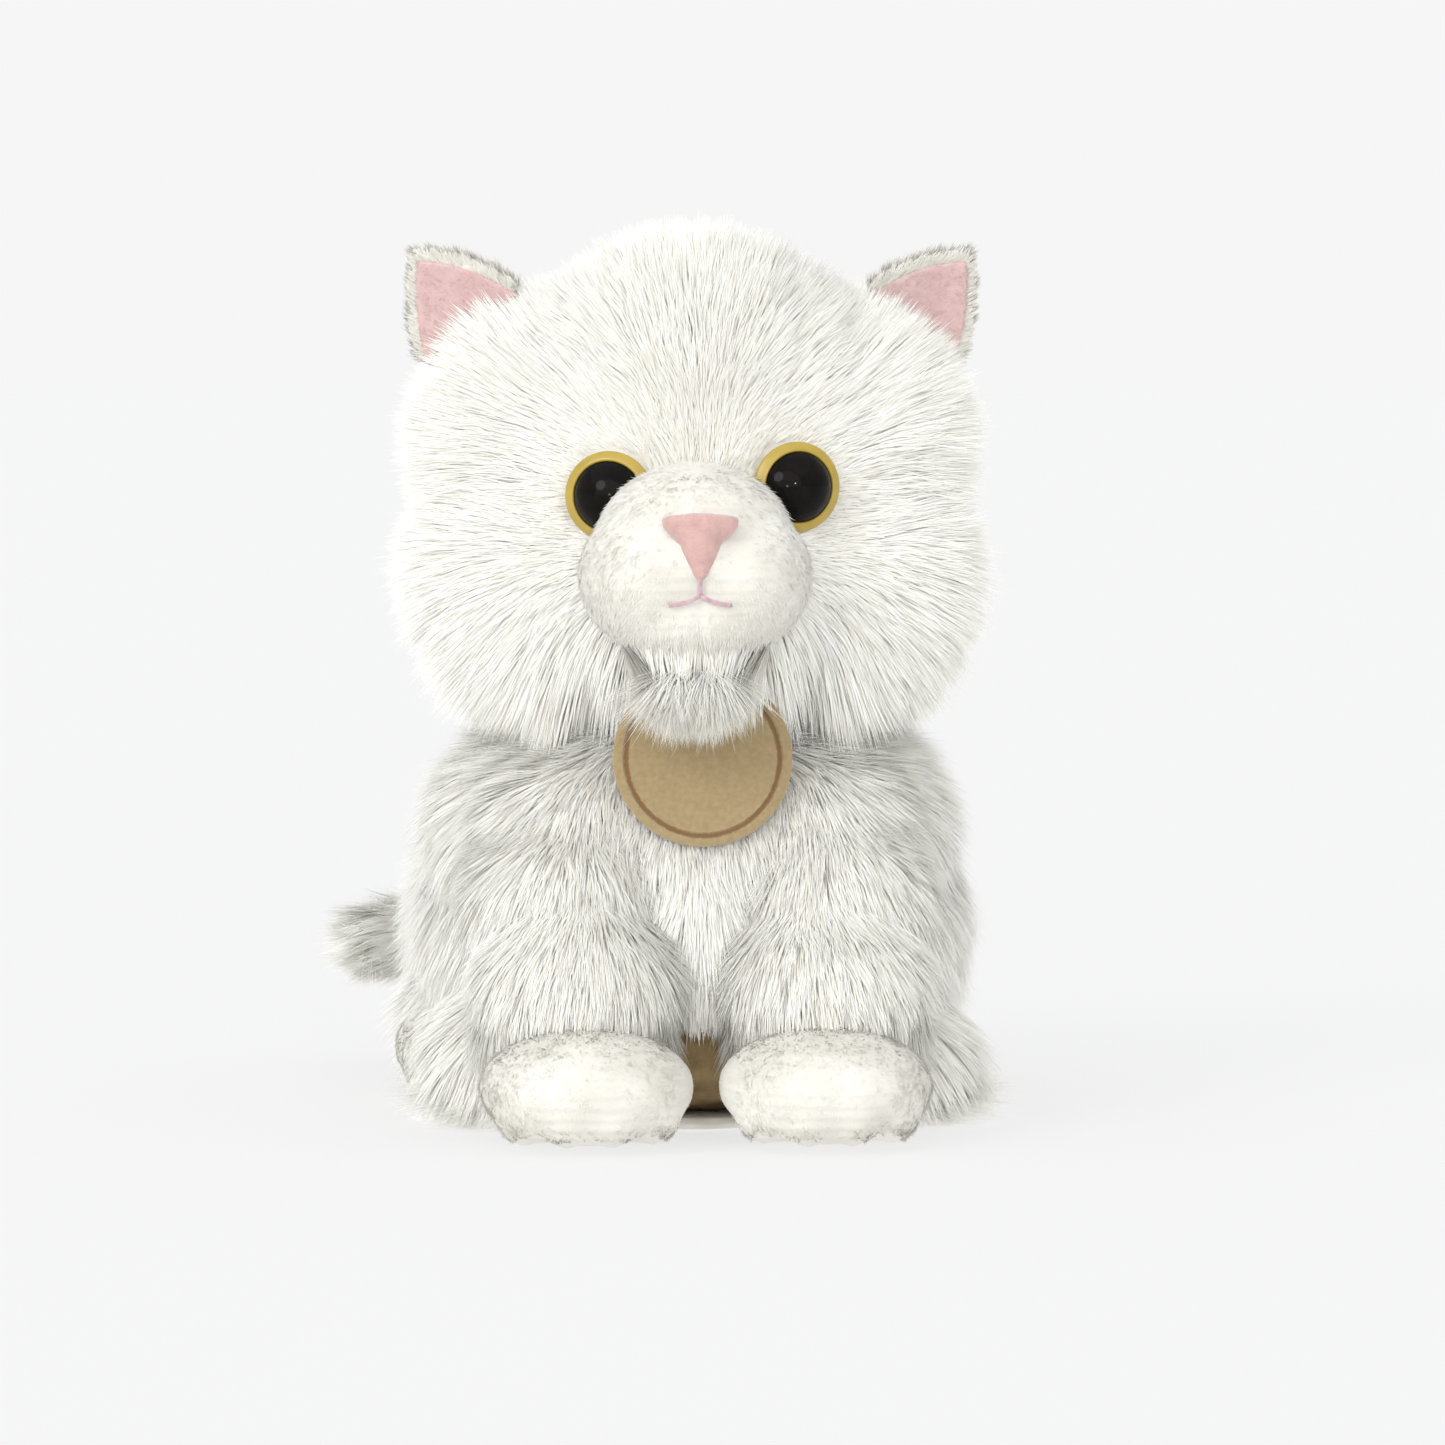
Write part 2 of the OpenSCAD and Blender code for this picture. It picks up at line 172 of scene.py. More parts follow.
def new_material(name, **shader):
    """A material with one Principled shader, whose own sockets take the settings."""
    found = bpy.data.materials.get(name)
    if found:
        return found, None, None
    mat = bpy.data.materials.new(name)
    mat.use_nodes = True
    tree = mat.node_tree
    bsdf = tree.nodes["Principled BSDF"]
    for key, value in shader.items():
        bsdf.inputs[key.replace("_", " ").title().replace("Ior", "IOR")].default_value = value
    return mat, tree, bsdf


def mottle(tree, bsdf, low, high, scale, detail=4, stretch=(1, 1, 1)):
    """Blends two colours over an object-space noise of the given scale per metre."""
    where = add_node(tree, "ShaderNodeTexCoord")
    lay = add_node(tree, "ShaderNodeMapping", inputs={"Vector": where.outputs["Object"], "Scale": stretch})
    noise = add_node(
        tree, "ShaderNodeTexNoise", inputs={"Vector": lay.outputs[0], "Scale": scale, "Detail": detail}
    )
    ramp = add_node(tree, "ShaderNodeValToRGB", inputs={"Fac": noise.outputs["Fac"]})
    ramp.color_ramp.elements[0].position, ramp.color_ramp.elements[1].position = 0.3, 0.7
    ramp.color_ramp.elements[0].color, ramp.color_ramp.elements[1].color = low, high
    tree.links.new(ramp.outputs["Color"], bsdf.inputs["Base Color"])
    return lay, noise, ramp


def roughen(tree, bsdf, height, depth_mm, strength=0.6):
    """Bump of a real depth from a height value."""
    bump = add_node(
        tree,
        "ShaderNodeBump",
        inputs={"Height": height, "Distance": depth_mm * MM, "Strength": strength},
    )
    tree.links.new(bump.outputs["Normal"], bsdf.inputs["Normal"])
    return bump


def pile_tones(kind):
    """Acrylic pile: warm dull roots, white fibres and slightly cooler bright ones.
    Each fibre takes two of the tones, so the coat is never one flat colour."""
    c = bpy.context.scene.cat_colours
    sets = {
        "long": (c.fur_root, c.fur_fibre, c.fur_bright),
        "short": (c.short_root, c.short_fibre, c.short_bright),
        "velour": (c.ear_pink_root, c.ear_pink, c.ear_pink_bright),
    }
    mats = []
    for tone, colour in zip(("root", "fibre", "bright"), sets[kind]):
        mat, tree, _ = new_material(
            f"acrylic_{kind}_pile_{tone}",
            base_color=tuple(colour) + (1,),
            roughness=0.62,
            specular_ior_level=0.35,
            sheen_weight=0.25,
            sheen_roughness=0.45,
        )
        mats.append(mat)
    return mats


def knitted_backing():
    """Warp-knit polyester backing cloth: tiny courses 1.2 mm apart, dull, faintly hairy."""
    mat, tree, bsdf = new_material("knitted_polyester_backing", roughness=0.88, sheen_weight=0.3)
    if tree:
        c = bpy.context.scene.cat_colours
        root = tuple(c.short_fibre) + (1,)
        dark = tuple(x * 0.9 for x in c.short_root) + (1,)
        lay, noise, _ = mottle(tree, bsdf, dark, root, 90)
        courses = add_node(
            tree,
            "ShaderNodeTexWave",
            {"bands_direction": "Z"},
            {"Vector": lay.outputs[0], "Scale": 130, "Distortion": 1.5, "Detail": 2},
        )
        roughen(tree, bsdf, courses.outputs["Fac"], 0.25)
    return mat


def bare_backing_painted_shade():
    """Unpiled cotton backing where the body is not seen: tan, matt, darker in its knit."""
    mat, tree, bsdf = new_material("painted_shade_tan_backing", roughness=0.92)
    if tree:
        # Dark tan browns: painted shade for the deep shadow between the paws, not the cloth's own colour. The low
        # end of the noise also falls in the bump's hollows.
        _, noise, _ = mottle(tree, bsdf, linear("#6B5533"), linear("#8F7A55"), 260, 6)
        roughen(tree, bsdf, noise.outputs["Fac"], 0.3)
    return mat


def fibre_fill():
    """Crimped polyester fill: white wads with soft grey hollows and a fluffy surface."""
    mat, tree, bsdf = new_material("crimped_polyester_fill", roughness=0.95, sheen_weight=0.4)
    if tree:
        # One noise gives both colour and bump, so the grey falls in the bump's hollows: painted shade.
        _, noise, _ = mottle(tree, bsdf, linear("#DADAD4"), linear("#F7F7F5"), 160, 8)
        roughen(tree, bsdf, noise.outputs["Fac"], 1.2, 0.9)
    return mat


def bag_cloth():
    """Plain-woven polyester pellet bag: a fine square weave 0.8 mm apart over hard beads."""
    mat, tree, bsdf = new_material("woven_polyester_pellet_bag", roughness=0.8)
    if tree:
        lay, _, _ = mottle(tree, bsdf, linear("#CFC9B8"), linear("#DDD8C9"), 60)
        warp = add_node(
            tree, "ShaderNodeTexWave", {"bands_direction": "X"}, {"Vector": lay.outputs[0], "Scale": 200}
        )
        weft = add_node(
            tree, "ShaderNodeTexWave", {"bands_direction": "Y"}, {"Vector": lay.outputs[0], "Scale": 200}
        )
        both = add_node(
            tree, "ShaderNodeMath", {"operation": "MAXIMUM"}, {0: warp.outputs["Fac"], 1: weft.outputs["Fac"]}
        )
        roughen(tree, bsdf, both.outputs[0], 0.2)
    return mat


def label_satin():
    """Satin-weave polyester label: smooth, with a soft lustre along its long floats."""
    mat, tree, bsdf = new_material("satin_polyester_label", roughness=0.38, sheen_weight=0.2)
    if tree:
        lay, _, _ = mottle(tree, bsdf, linear("#E9E9E6"), linear("#F6F6F4"), 120, 3, (1, 8, 1))
        floats = add_node(
            tree, "ShaderNodeTexWave", {"bands_direction": "X"}, {"Vector": lay.outputs[0], "Scale": 260}
        )
        roughen(tree, bsdf, floats.outputs["Fac"], 0.06)
    return mat


def eye_yellow():
    """Moulded styrene eye base, spray-painted yellow on its face: satin, a little uneven."""
    mat, tree, bsdf = new_material(
        "sprayed_styrene_eye_yellow", roughness=0.32, ior=1.55, coat_weight=0.25, coat_roughness=0.15
    )
    if tree:
        c = bpy.context.scene.cat_colours
        dark = tuple(x * 0.82 for x in c.eye_yellow) + (1,)
        _, noise, _ = mottle(tree, bsdf, dark, tuple(c.eye_yellow) + (1,), 260, 5)
        roughen(tree, bsdf, noise.outputs["Fac"], 0.04, 0.4)
    return mat


def eye_black():
    """Injection-moulded black styrene, polished by the mould: deep gloss, faint haze."""
    mat, tree, bsdf = new_material("polished_styrene_eye_black", ior=1.52, specular_ior_level=0.09)
    if tree:
        _, noise, _ = mottle(tree, bsdf, linear("#0B0908"), linear("#15110D"), 300, 3)
        haze = add_node(
            tree,
            "ShaderNodeMapRange",
            inputs={"Value": noise.outputs["Fac"], "To Min": 0.03, "To Max": 0.09},
        )
        tree.links.new(haze.outputs[0], bsdf.inputs["Roughness"])
    return mat


def washer_plastic():
    """Moulded polypropylene lock washer: matt, milky, with fine flow marks."""
    mat, tree, bsdf = new_material("moulded_polypropylene_washer", roughness=0.5, ior=1.49)
    if tree:
        _, noise, _ = mottle(tree, bsdf, linear("#D2D2CE"), linear("#E0E0DE"), 200)
        roughen(tree, bsdf, noise.outputs["Fac"], 0.05, 0.3)
    return mat


def nose_flock():
    """Nylon flock on a moulded nose: very short fibres, velvety, paler where they catch the light."""
    mat, tree, bsdf = new_material(
        "nylon_flocked_nose", roughness=0.9, sheen_weight=0.6, sheen_roughness=0.4
    )
    if tree:
        c = bpy.context.scene.cat_colours
        dark = tuple(x * 0.8 for x in c.nose_pink) + (1,)
        lay, _, _ = mottle(tree, bsdf, dark, tuple(c.nose_pink) + (1,), 420, 6)
        fibres = add_node(
            tree, "ShaderNodeTexNoise", inputs={"Vector": lay.outputs[0], "Scale": 2600, "Detail": 2}
        )
        roughen(tree, bsdf, fibres.outputs["Fac"], 0.25, 0.8)
    return mat


def cotton_thread(name, colour):
    """Twisted embroidery or tying thread: fine slanting plies and a slight lustre."""
    mat, tree, bsdf = new_material(name, roughness=0.6, sheen_weight=0.3)
    if tree:
        dark = tuple(x * 0.7 for x in colour[:3]) + (1,)
        lay, _, _ = mottle(tree, bsdf, dark, tuple(colour[:3]) + (1,), 700, 3)
        plies = add_node(
            tree,
            "ShaderNodeTexWave",
            {"bands_direction": "DIAGONAL"},
            {"Vector": lay.outputs[0], "Scale": 500},
        )
        roughen(tree, bsdf, plies.outputs["Fac"], 0.12)
    return mat


def ear_velour():
    """Brushed tricot velour: soft pink nap about a millimetre deep, mottled where it was stroked."""
    mat, tree, bsdf = new_material(
        "brushed_tricot_velour_pink", roughness=0.92, sheen_weight=0.5, sheen_roughness=0.5
    )
    if tree:
        c = bpy.context.scene.cat_colours
        _, noise, _ = mottle(tree, bsdf, tuple(c.ear_pink_root) + (1,), tuple(c.ear_pink) + (1,), 200, 5)
        roughen(tree, bsdf, noise.outputs["Fac"], 0.4, 0.5)
    return mat


def tag_suede():
    """Microfibre suede, die-cut and heat-stamped: sandy nap, and a browned stamped line near the rim."""
    mat, tree, bsdf = new_material("stamped_microfibre_suede", roughness=0.9, sheen_weight=0.35)
    if tree:
        c = bpy.context.scene.cat_colours
        dark = tuple(x * 0.8 for x in c.suede) + (1,)
        lay, noise, nap = mottle(tree, bsdf, dark, tuple(c.suede) + (1,), 900, 8)
        lean = math.radians(TAG_LEAN)
        centre = add_node(
            tree,
            "ShaderNodeVectorMath",
            {"operation": "SUBTRACT"},
            {0: lay.outputs[0], 1: [v * MM for v in TAG]},
        )
        flat = add_node(
            tree,
            "ShaderNodeMapping",
            inputs={"Vector": centre.outputs[0], "Rotation": (-lean, 0, 0), "Scale": (1, 0, 1)},
        )
        away = add_node(tree, "ShaderNodeVectorMath", {"operation": "LENGTH"}, {0: flat.outputs[0]})
        wobble = add_node(
            tree, "ShaderNodeTexNoise", inputs={"Vector": lay.outputs[0], "Scale": 1400, "Detail": 3}
        )
        drift = add_node(
            tree,
            "ShaderNodeMath",
            {"operation": "MULTIPLY_ADD"},
            {0: wobble.outputs["Fac"], 1: 0.0006, 2: away.outputs["Value"]},
        )
        ring = add_node(
            tree,
            "ShaderNodeMapRange",
            {"interpolation_type": "SMOOTHSTEP"},
            {"Value": drift.outputs[0], "From Min": 0.0154, "From Max": 0.0159},
        )
        beyond = add_node(
            tree,
            "ShaderNodeMapRange",
            {"interpolation_type": "SMOOTHSTEP"},
            {"Value": drift.outputs[0], "From Min": 0.0163, "From Max": 0.0168},
        )
        line = add_node(
            tree,
            "ShaderNodeMath",
            {"operation": "SUBTRACT"},
            {0: ring.outputs[0], 1: beyond.outputs[0]},
        )
        brown = add_node(
            tree,
            "ShaderNodeMix",
            {"data_type": "RGBA"},
            {
                "Factor": line.outputs[0],
                6: nap.outputs["Color"],
                7: tuple(c.suede_stamp) + (1,),
            },
        )
        rim = add_node(
            tree,
            "ShaderNodeMapRange",
            {"interpolation_type": "SMOOTHSTEP"},
            {"Value": away.outputs["Value"], "From Min": 0.0180, "From Max": 0.0184},
        )
        edged = add_node(
            tree,
            "ShaderNodeMix",
            {"data_type": "RGBA"},
            {
                "Factor": rim.outputs[0],
                6: brown.outputs[2],
                7: tuple(c.suede_edge) + (1,),
            },
        )
        tree.links.new(edged.outputs[2], bsdf.inputs["Base Color"])
        depth = add_node(
            tree,
            "ShaderNodeMath",
            {"operation": "SUBTRACT"},
            {0: noise.outputs["Fac"], 1: line.outputs[0]},
        )
        roughen(tree, bsdf, depth.outputs[0], 0.25, 0.7)
    return mat


# ---------------------------------------------------------------- sewing
def lump(centre, half, turn=(0, 0, 0)):
    """One stuffed lump: a ball added at its size and place, in millimetres."""
    pick_only(None)
    bpy.ops.mesh.primitive_uv_sphere_add(
        segments=40,
        ring_count=24,
        radius=1,
        location=[c * MM for c in centre],
        rotation=[math.radians(a) for a in turn],
        scale=[h * MM for h in half],
    )
    obj = bpy.context.object
    bpy.ops.object.transform_apply(location=True, rotation=True, scale=True)
    return obj


def sew(name, lumps, voxel=2.4, rounds=8):
    """Joins lumps into one closed skin, remeshed evenly and eased where they meet."""
    pick_only(lumps[0])
    for other in lumps[1:]:
        other.select_set(True)
    if len(lumps) > 1:
        bpy.ops.object.join()
    obj = bpy.context.object
    obj.name = obj.data.name = name
    modify(obj, "REMESH", mode="VOXEL", voxel_size=voxel * MM)
    modify(obj, "SMOOTH", factor=0.5, iterations=rounds)
    return smooth(obj)


def sink_seam(obj, away, depth=0.9, width=1.4):
    """Draws the skin in along a sewn line; away(points) is the distance from it."""
    points = read_points(obj)
    points -= read_normals(obj) * (depth * np.exp(-((away(points) / width) ** 2)))[:, None]
    write_points(obj, points)


def copy_node(node, name):
    """A merged copy of a CAD node's mesh as a new object."""
    obj = bpy.data.objects.new(name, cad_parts[node].data.copy())
    obj.data.name = name
    obj.data.materials.clear()
    bpy.context.scene.collection.objects.link(obj)
    pick_only(obj)
    bpy.ops.object.mode_set(mode="EDIT")
    bpy.ops.mesh.select_all(action="SELECT")
    bpy.ops.mesh.customdata_custom_splitnormals_clear()
    bpy.ops.mesh.remove_doubles(threshold=0.00002)
    bpy.ops.object.mode_set(mode="OBJECT")
    return obj


def ruffle(obj, size_mm, depth_mm, detail=2):
    """Lumps and hollows of a given size, pressed into a skin along its normals."""
    clouds = bpy.data.textures.new(f"{obj.name}_lumps", "CLOUDS")
    clouds.noise_scale, clouds.noise_depth = size_mm * MM, detail
    modify(
        obj,
        "DISPLACE",
        texture=clouds,
        texture_coords="LOCAL",
        strength=depth_mm * MM,
        mid_level=0.5,
    )
    return smooth(obj)


def dress(obj, body, slot, *materials):
    """Gives a piece its finishes and hangs it on its body."""
    obj.data.materials.clear()
    for material in materials:
        obj.data.materials.append(material)
    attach(obj, body)
    return obj


def fill_piece(node, body, voxel=3.0, slot="fibre_fill"):
    """Wads of fibre fill in the shape that a stuffed part gives them."""
    obj = copy_node(node, node + "_wads")
    modify(obj, "REMESH", mode="VOXEL", voxel_size=voxel * MM)
    ruffle(obj, 7, 1.6, 3)
    dress(obj, body, slot, fibre_fill())
    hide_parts(node)
    return obj


def spin_part(name, outline, steps=48):
    """Spins an outline of (radius, height) points in millimetres round Z into a closed part."""
    mesh = bpy.data.meshes.new(name)
    mesh.from_pydata(
        [(r * MM, 0, z * MM) for r, z in outline], [(i, i + 1) for i in range(len(outline) - 1)], []
    )
    obj = bpy.data.objects.new(name, mesh)
    bpy.context.scene.collection.objects.link(obj)
    pick_only(obj)
    bpy.ops.object.mode_set(mode="EDIT")
    bpy.ops.mesh.select_all(action="SELECT")
    bpy.ops.mesh.spin(steps=steps, angle=math.tau, center=(0, 0, 0), axis=(0, 0, 1))
    bpy.ops.object.mode_set(mode="OBJECT")
    outward(obj)
    return smooth(obj)


def tube(name, points, radius, resolution=3):
    """A round thread along points in millimetres, made a closed mesh."""
    curve = bpy.data.curves.new(name, "CURVE")
    curve.dimensions = "3D"
    curve.bevel_depth, curve.bevel_resolution = radius * MM, resolution
    curve.use_fill_caps = True
    line = curve.splines.new("POLY")
    line.points.add(len(points) - 1)
    for p, at in zip(line.points, points):
        p.co = [c * MM for c in at] + [1]
    obj = bpy.data.objects.new(name, curve)
    bpy.context.scene.collection.objects.link(obj)
    pick_only(obj)
    bpy.ops.object.convert(target="MESH")
    obj = bpy.context.object
    outward(obj)
    return smooth(obj)


def join(parts, name):
    pick_only(parts[0])
    for p in parts[1:]:
        p.select_set(True)
    bpy.ops.object.join()
    bpy.context.object.name = bpy.context.object.data.name = name
    return bpy.context.object


# ---------------------------------------------------------------- pile
class Roots:
    """Where fibres leave the backing: places and outward normals, in millimetres."""

    def __init__(self, skin, per_mm2, seed):
        rng = np.random.default_rng(seed)
        mesh = skin.data
        mesh.calc_loop_triangles()
        tris = np.empty(len(mesh.loop_triangles) * 3, np.int32)
        mesh.loop_triangles.foreach_get("vertices", tris)
        tris = tris.reshape(-1, 3)
        co, nor = read_points(skin), read_normals(skin)
        a, b, c = (co[tris[:, k]] for k in range(3))
        area = np.linalg.norm(np.cross(b - a, c - a), axis=1) / 2
        n = int(area.sum() * per_mm2)
        which = np.searchsorted(np.cumsum(area) / area.sum(), rng.random(n))
        which = np.minimum(which, len(tris) - 1)
        u, v = rng.random((2, n))
        over = u + v > 1
        u[over], v[over] = 1 - u[over], 1 - v[over]
        w = 1 - u - v
        self.at = a[which] * w[:, None] + b[which] * u[:, None] + c[which] * v[:, None]
        mix = [nor[tris[which, k]] for k in range(3)]
        self.out = unit(mix[0] * w[:, None] + mix[1] * u[:, None] + mix[2] * v[:, None])
        self.rng = rng

    def keep(self, mask):
        self.at, self.out = self.at[mask], self.out[mask]
        return self

    def clear_of(self, *eggs):
        """Drops roots inside any of the ellipsoids given as (centre, half sizes)."""
        for centre, half in eggs:
            d = (self.at - np.array(centre, float)) / np.array(half, float)
            self.keep((d * d).sum(1) > 1)
        return self


def comb(
    name,
    roots,
    length,
    flow,
    lift,
    droop=0.1,
    bend=0.25,
    width=0.26,
    lock_mm2=7.0,
    draw=0.25,
    per_mm2=3.0,
    loose=0.08,
    kind="long",
    floor=0.35,
    soft=0.94,
):
    """Combs a pile: one tapering ribbon a fibre, from root to tip, its tips drawn together in locks."""
    rng, root, out = roots.rng, roots.at, roots.out
    n = len(root)
    down = np.array([0, 0, -1.0])
    flow = unit(flow - out * (flow * out).sum(1, keepdims=True))
    lift = np.broadcast_to(np.asarray(lift, float), (n,))[:, None]
    length = np.broadcast_to(np.asarray(length, float), (n,))
    droop = np.broadcast_to(np.asarray(droop, float), (n,))[:, None]
    locks = max(1, int(n / (per_mm2 * lock_mm2)))
    heads = rng.choice(n, locks, replace=False)
    tree = kdtree.KDTree(locks)
    for i, h in enumerate(heads):
        tree.insert(root[h], i)
    tree.balance()
    near = np.array([tree.find(p)[1] for p in root])
    sway = rng.normal(0, 0.06, (locks, 3))[near]
    first = unit(out * lift + flow * (1 - lift) + sway * 0.6 + rng.normal(0, loose, (n, 3)))
    second = unit(first + flow * bend + down * droop + sway + rng.normal(0, loose, (n, 3)))
    reach = (length * rng.uniform(0.72, 1.06, n) * rng.uniform(0.94, 1.04, locks)[near])[:, None]
    p0 = root - out * 0.5
    p1 = p0 + first * reach * 0.5
    p2 = p1 + second * reach * 0.5
    pull = (draw * rng.uniform(0.5, 1.1, n))[:, None]
    p2 = p2 + (p2[heads][near] - p2) * pull
    p1 = p1 + (p1[heads][near] - p1) * pull * 0.35
    stations, taper = (0, 0.6, 1), (1, 0.9, 0)
    level = unit(out * np.where(out[:, 2:] > 0, (1, 1, 0.45), (1, 1, 0.8)))
    side = unit(np.cross(p2 - p0, out) + rng.normal(0, 0.2, (n, 3)) * np.linalg.norm(p2 - p0, axis=1)[:, None])
    rows, normals = [], []
    for t, w in zip(stations, taper):
        at = p0 * (1 - t) ** 2 + p1 * (2 * t * (1 - t)) + p2 * t * t
        run = unit((p1 - p0) * (1 - t) + (p2 - p1) * t)
        across = unit(side - run * (side * run).sum(1, keepdims=True))
        face = np.cross(across, run)
        turn = np.where((face * out).sum(1, keepdims=True) < 0, -1.0, 1.0)
        if t == 0:
            keep_turn = turn
        across, face = across * keep_turn, face * keep_turn
        lit = level - run * (0.9 if kind == "long" else 0.0) * (level * run).sum(1, keepdims=True)
        shade = unit(unit(lit) * soft + face * (1 - soft))
        at[:, 2] = np.maximum(at[:, 2], floor)
        if w:
            for s in (-0.5, 0.5):
                spot = at + across * (width * w * s)
                spot[:, 2] = np.maximum(spot[:, 2], floor - 0.05)
                rows.append(spot)
                normals.append(shade)
        else:
            rows.append(at)
            normals.append(shade)
    per = len(rows)
    co = np.stack(rows, 1).reshape(-1, 3)
    nor = np.stack(normals, 1).reshape(-1, 3)
    strip = []
    for k in range(len(stations) - 2):
        a = 2 * k
        strip += [(a, a + 1, a + 3), (a, a + 3, a + 2)]
    strip.append((per - 3, per - 2, per - 1))
    strip = np.array(strip, np.int32)
    faces = (np.arange(n, dtype=np.int32) * per)[:, None, None] + strip[None]
    tone = np.ones((n, len(strip)), np.int32) + (rng.random(n) < 0.4).astype(np.int32)[:, None]
    tone[rng.random(n) < 0.25] = 0
    mesh = bpy.data.meshes.new(name)
    mesh.vertices.add(len(co))
    mesh.vertices.foreach_set("co", (co * MM).astype(np.float32).ravel())
    total = n * len(strip)
    mesh.loops.add(total * 3)
    mesh.loops.foreach_set("vertex_index", faces.reshape(-1))
    mesh.polygons.add(total)
    mesh.polygons.foreach_set("loop_start", np.arange(0, total * 3, 3, dtype=np.int32))
    mesh.polygons.foreach_set("loop_total", np.full(total, 3, np.int32))
    mesh.polygons.foreach_set("material_index", tone.reshape(-1))
    mesh.polygons.foreach_set("use_smooth", np.ones(total, bool))
    mesh.update(calc_edges=True)
    mesh.normals_split_custom_set_from_vertices(nor.tolist())
    obj = bpy.data.objects.new(name, mesh)
    bpy.context.scene.collection.objects.link(obj)
    for mat in pile_tones(kind):
        mesh.materials.append(mat)
    print(f"{name}: {n} fibres, {total} faces")
    return obj


def hang(obj, body):
    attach(obj, body)
    return obj


# ---------------------------------------------------------------- places
def eye_frame(side):
    """An eye's own frame: origin on the face, +Z outward, in millimetres."""
    dx, dz = side * EYE_X, EYE_Z[side] - HEAD[0][2]
    dy = -HEAD[1][1] * math.sqrt(1 - (dx / HEAD[1][0]) ** 2 - (dz / HEAD[1][2]) ** 2)
    spot = np.array([dx, dy, dz])
    way = unit(spot / HEAD[1] ** 2)
    return HEAD[0] + spot - way * EYE_SINK, way


def eye_matrix(side):
    spot, way = eye_frame(side)
    turn = Vector((0, 0, 1)).rotation_difference(Vector(way)).to_matrix().to_4x4()
    return Matrix.Translation(Vector(spot) * MM) @ turn


def ear_matrix(side):
    """An ear's own frame, in millimetres: X along the seam, +Z to the tip, -Y forward."""
    return (
        Matrix.Translation((side * EAR_PLACE[0], EAR_PLACE[1], EAR_PLACE[2]))
        @ Matrix.Rotation(math.radians(side * EAR_LEAN), 4, "Y")
        @ Matrix.Rotation(math.radians(side * EAR_TURN), 4, "Z")
    )


# ---------------------------------------------------------------- head
def head_fields(roots):
    """Length, way, lift and droop of the head's pile at its roots."""
    p, out = roots.at, roots.out
    s = bpy.context.scene.cat_pile
    from_nose = p - NOSE_TIP
    away = np.linalg.norm(from_nose, axis=1)
    lower = step(126, 104, p[:, 2])
    front = step(-20, -40, p[:, 1])
    crown = step(158, 172, p[:, 2])
    length = s.face_mm + (s.cheek_mm - s.face_mm) * step(36, 66, away)
    length = length * (1 - crown) + s.crown_mm * crown
    chin = step(112, 101, p[:, 2]) * front * step(38, 22, np.abs(p[:, 0]))
    length = length * (1 - chin) + s.chin_mm * chin
    length = length + 5 * step(108, 98, p[:, 2]) * (1 - chin)
    for side in (LEFT, RIGHT):
        spot, way = eye_frame(side)
        gap = p - spot
        gap = np.linalg.norm(gap - way * (gap @ way)[:, None], axis=1)
        close = (gap < 19) & (p[:, 1] < -25)
        near = step(19, 10, gap) * close
        length = length * (1 - near) + 4.0 * near
    flow = unit(from_nose)
    flow = flow + np.array([0, 0, -1.0]) * (0.15 + 0.9 * chin + 0.35 * lower)[:, None]
    lift = 0.42 + 0.2 * crown - 0.26 * chin
    droop = 0.12 + 1.1 * chin
    return length, flow, lift, droop


def build_head():
    s = bpy.context.scene.cat_pile
    skin = sew(
        "head_cover",
        [
            lump((0, -9, 138), (47, 38, 40)),
            lump((0, -20, 134), (43, 29, 27)),
            lump((24, -13, 117), (31, 31, 26)),
            lump((-24, -13, 117), (31, 31, 26)),
            lump((30, -9, 144), (23, 27, 25)),
            lump((-30, -9, 144), (23, 27, 25)),
            lump((0, -16, 151), (33, 29, 30.5)),
            lump((0, -38, 117), (26, 21, 22)),
        ],
    )
    sink_seam(
        skin,
        lambda p: np.where((p[:, 2] > 144) & (p[:, 1] < 0), np.abs(np.abs(p[:, 0]) - 17), np.abs(p[:, 0])),
    )
    dress(skin, "head", "long_pile_fur", knitted_backing())
    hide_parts("head_skin_left", "head_skin_right", "forehead_gusset")

    gusset = lambda p: (np.abs(p[:, 0]) < 17) & (p[:, 2] > 144) & (p[:, 1] < 0)
    parts = {
        "head_pile_left": (101, lambda p: (p[:, 0] >= 0) & ~gusset(p)),
        "head_pile_right": (102, lambda p: (p[:, 0] < 0) & ~gusset(p)),
        "forehead_pile": (103, gusset),
    }
    for name, (seed, keep) in parts.items():
        roots = Roots(skin, s.head_density, seed)
        roots.keep(keep(roots.at))
        roots.clear_of(((FACE_SHIFT, -52, 120), (21, 22, 19)), (NECK, (20, 20, 22)))
        for side in (LEFT, RIGHT):
            spot, way = eye_frame(side)
            gap = roots.at - spot
            flat = np.linalg.norm(gap - way * (gap @ way)[:, None], axis=1)
            roots.keep((flat > IRIS_R - 0.4) | (roots.at[:, 1] > -25))
        length, flow, lift, droop = head_fields(roots)
        pile = comb(
            name,
            roots,
            length,
            flow,
            lift,
            droop,
            per_mm2=s.head_density,
            width=s.fibre_mm,
        )
        hang(pile, "head")


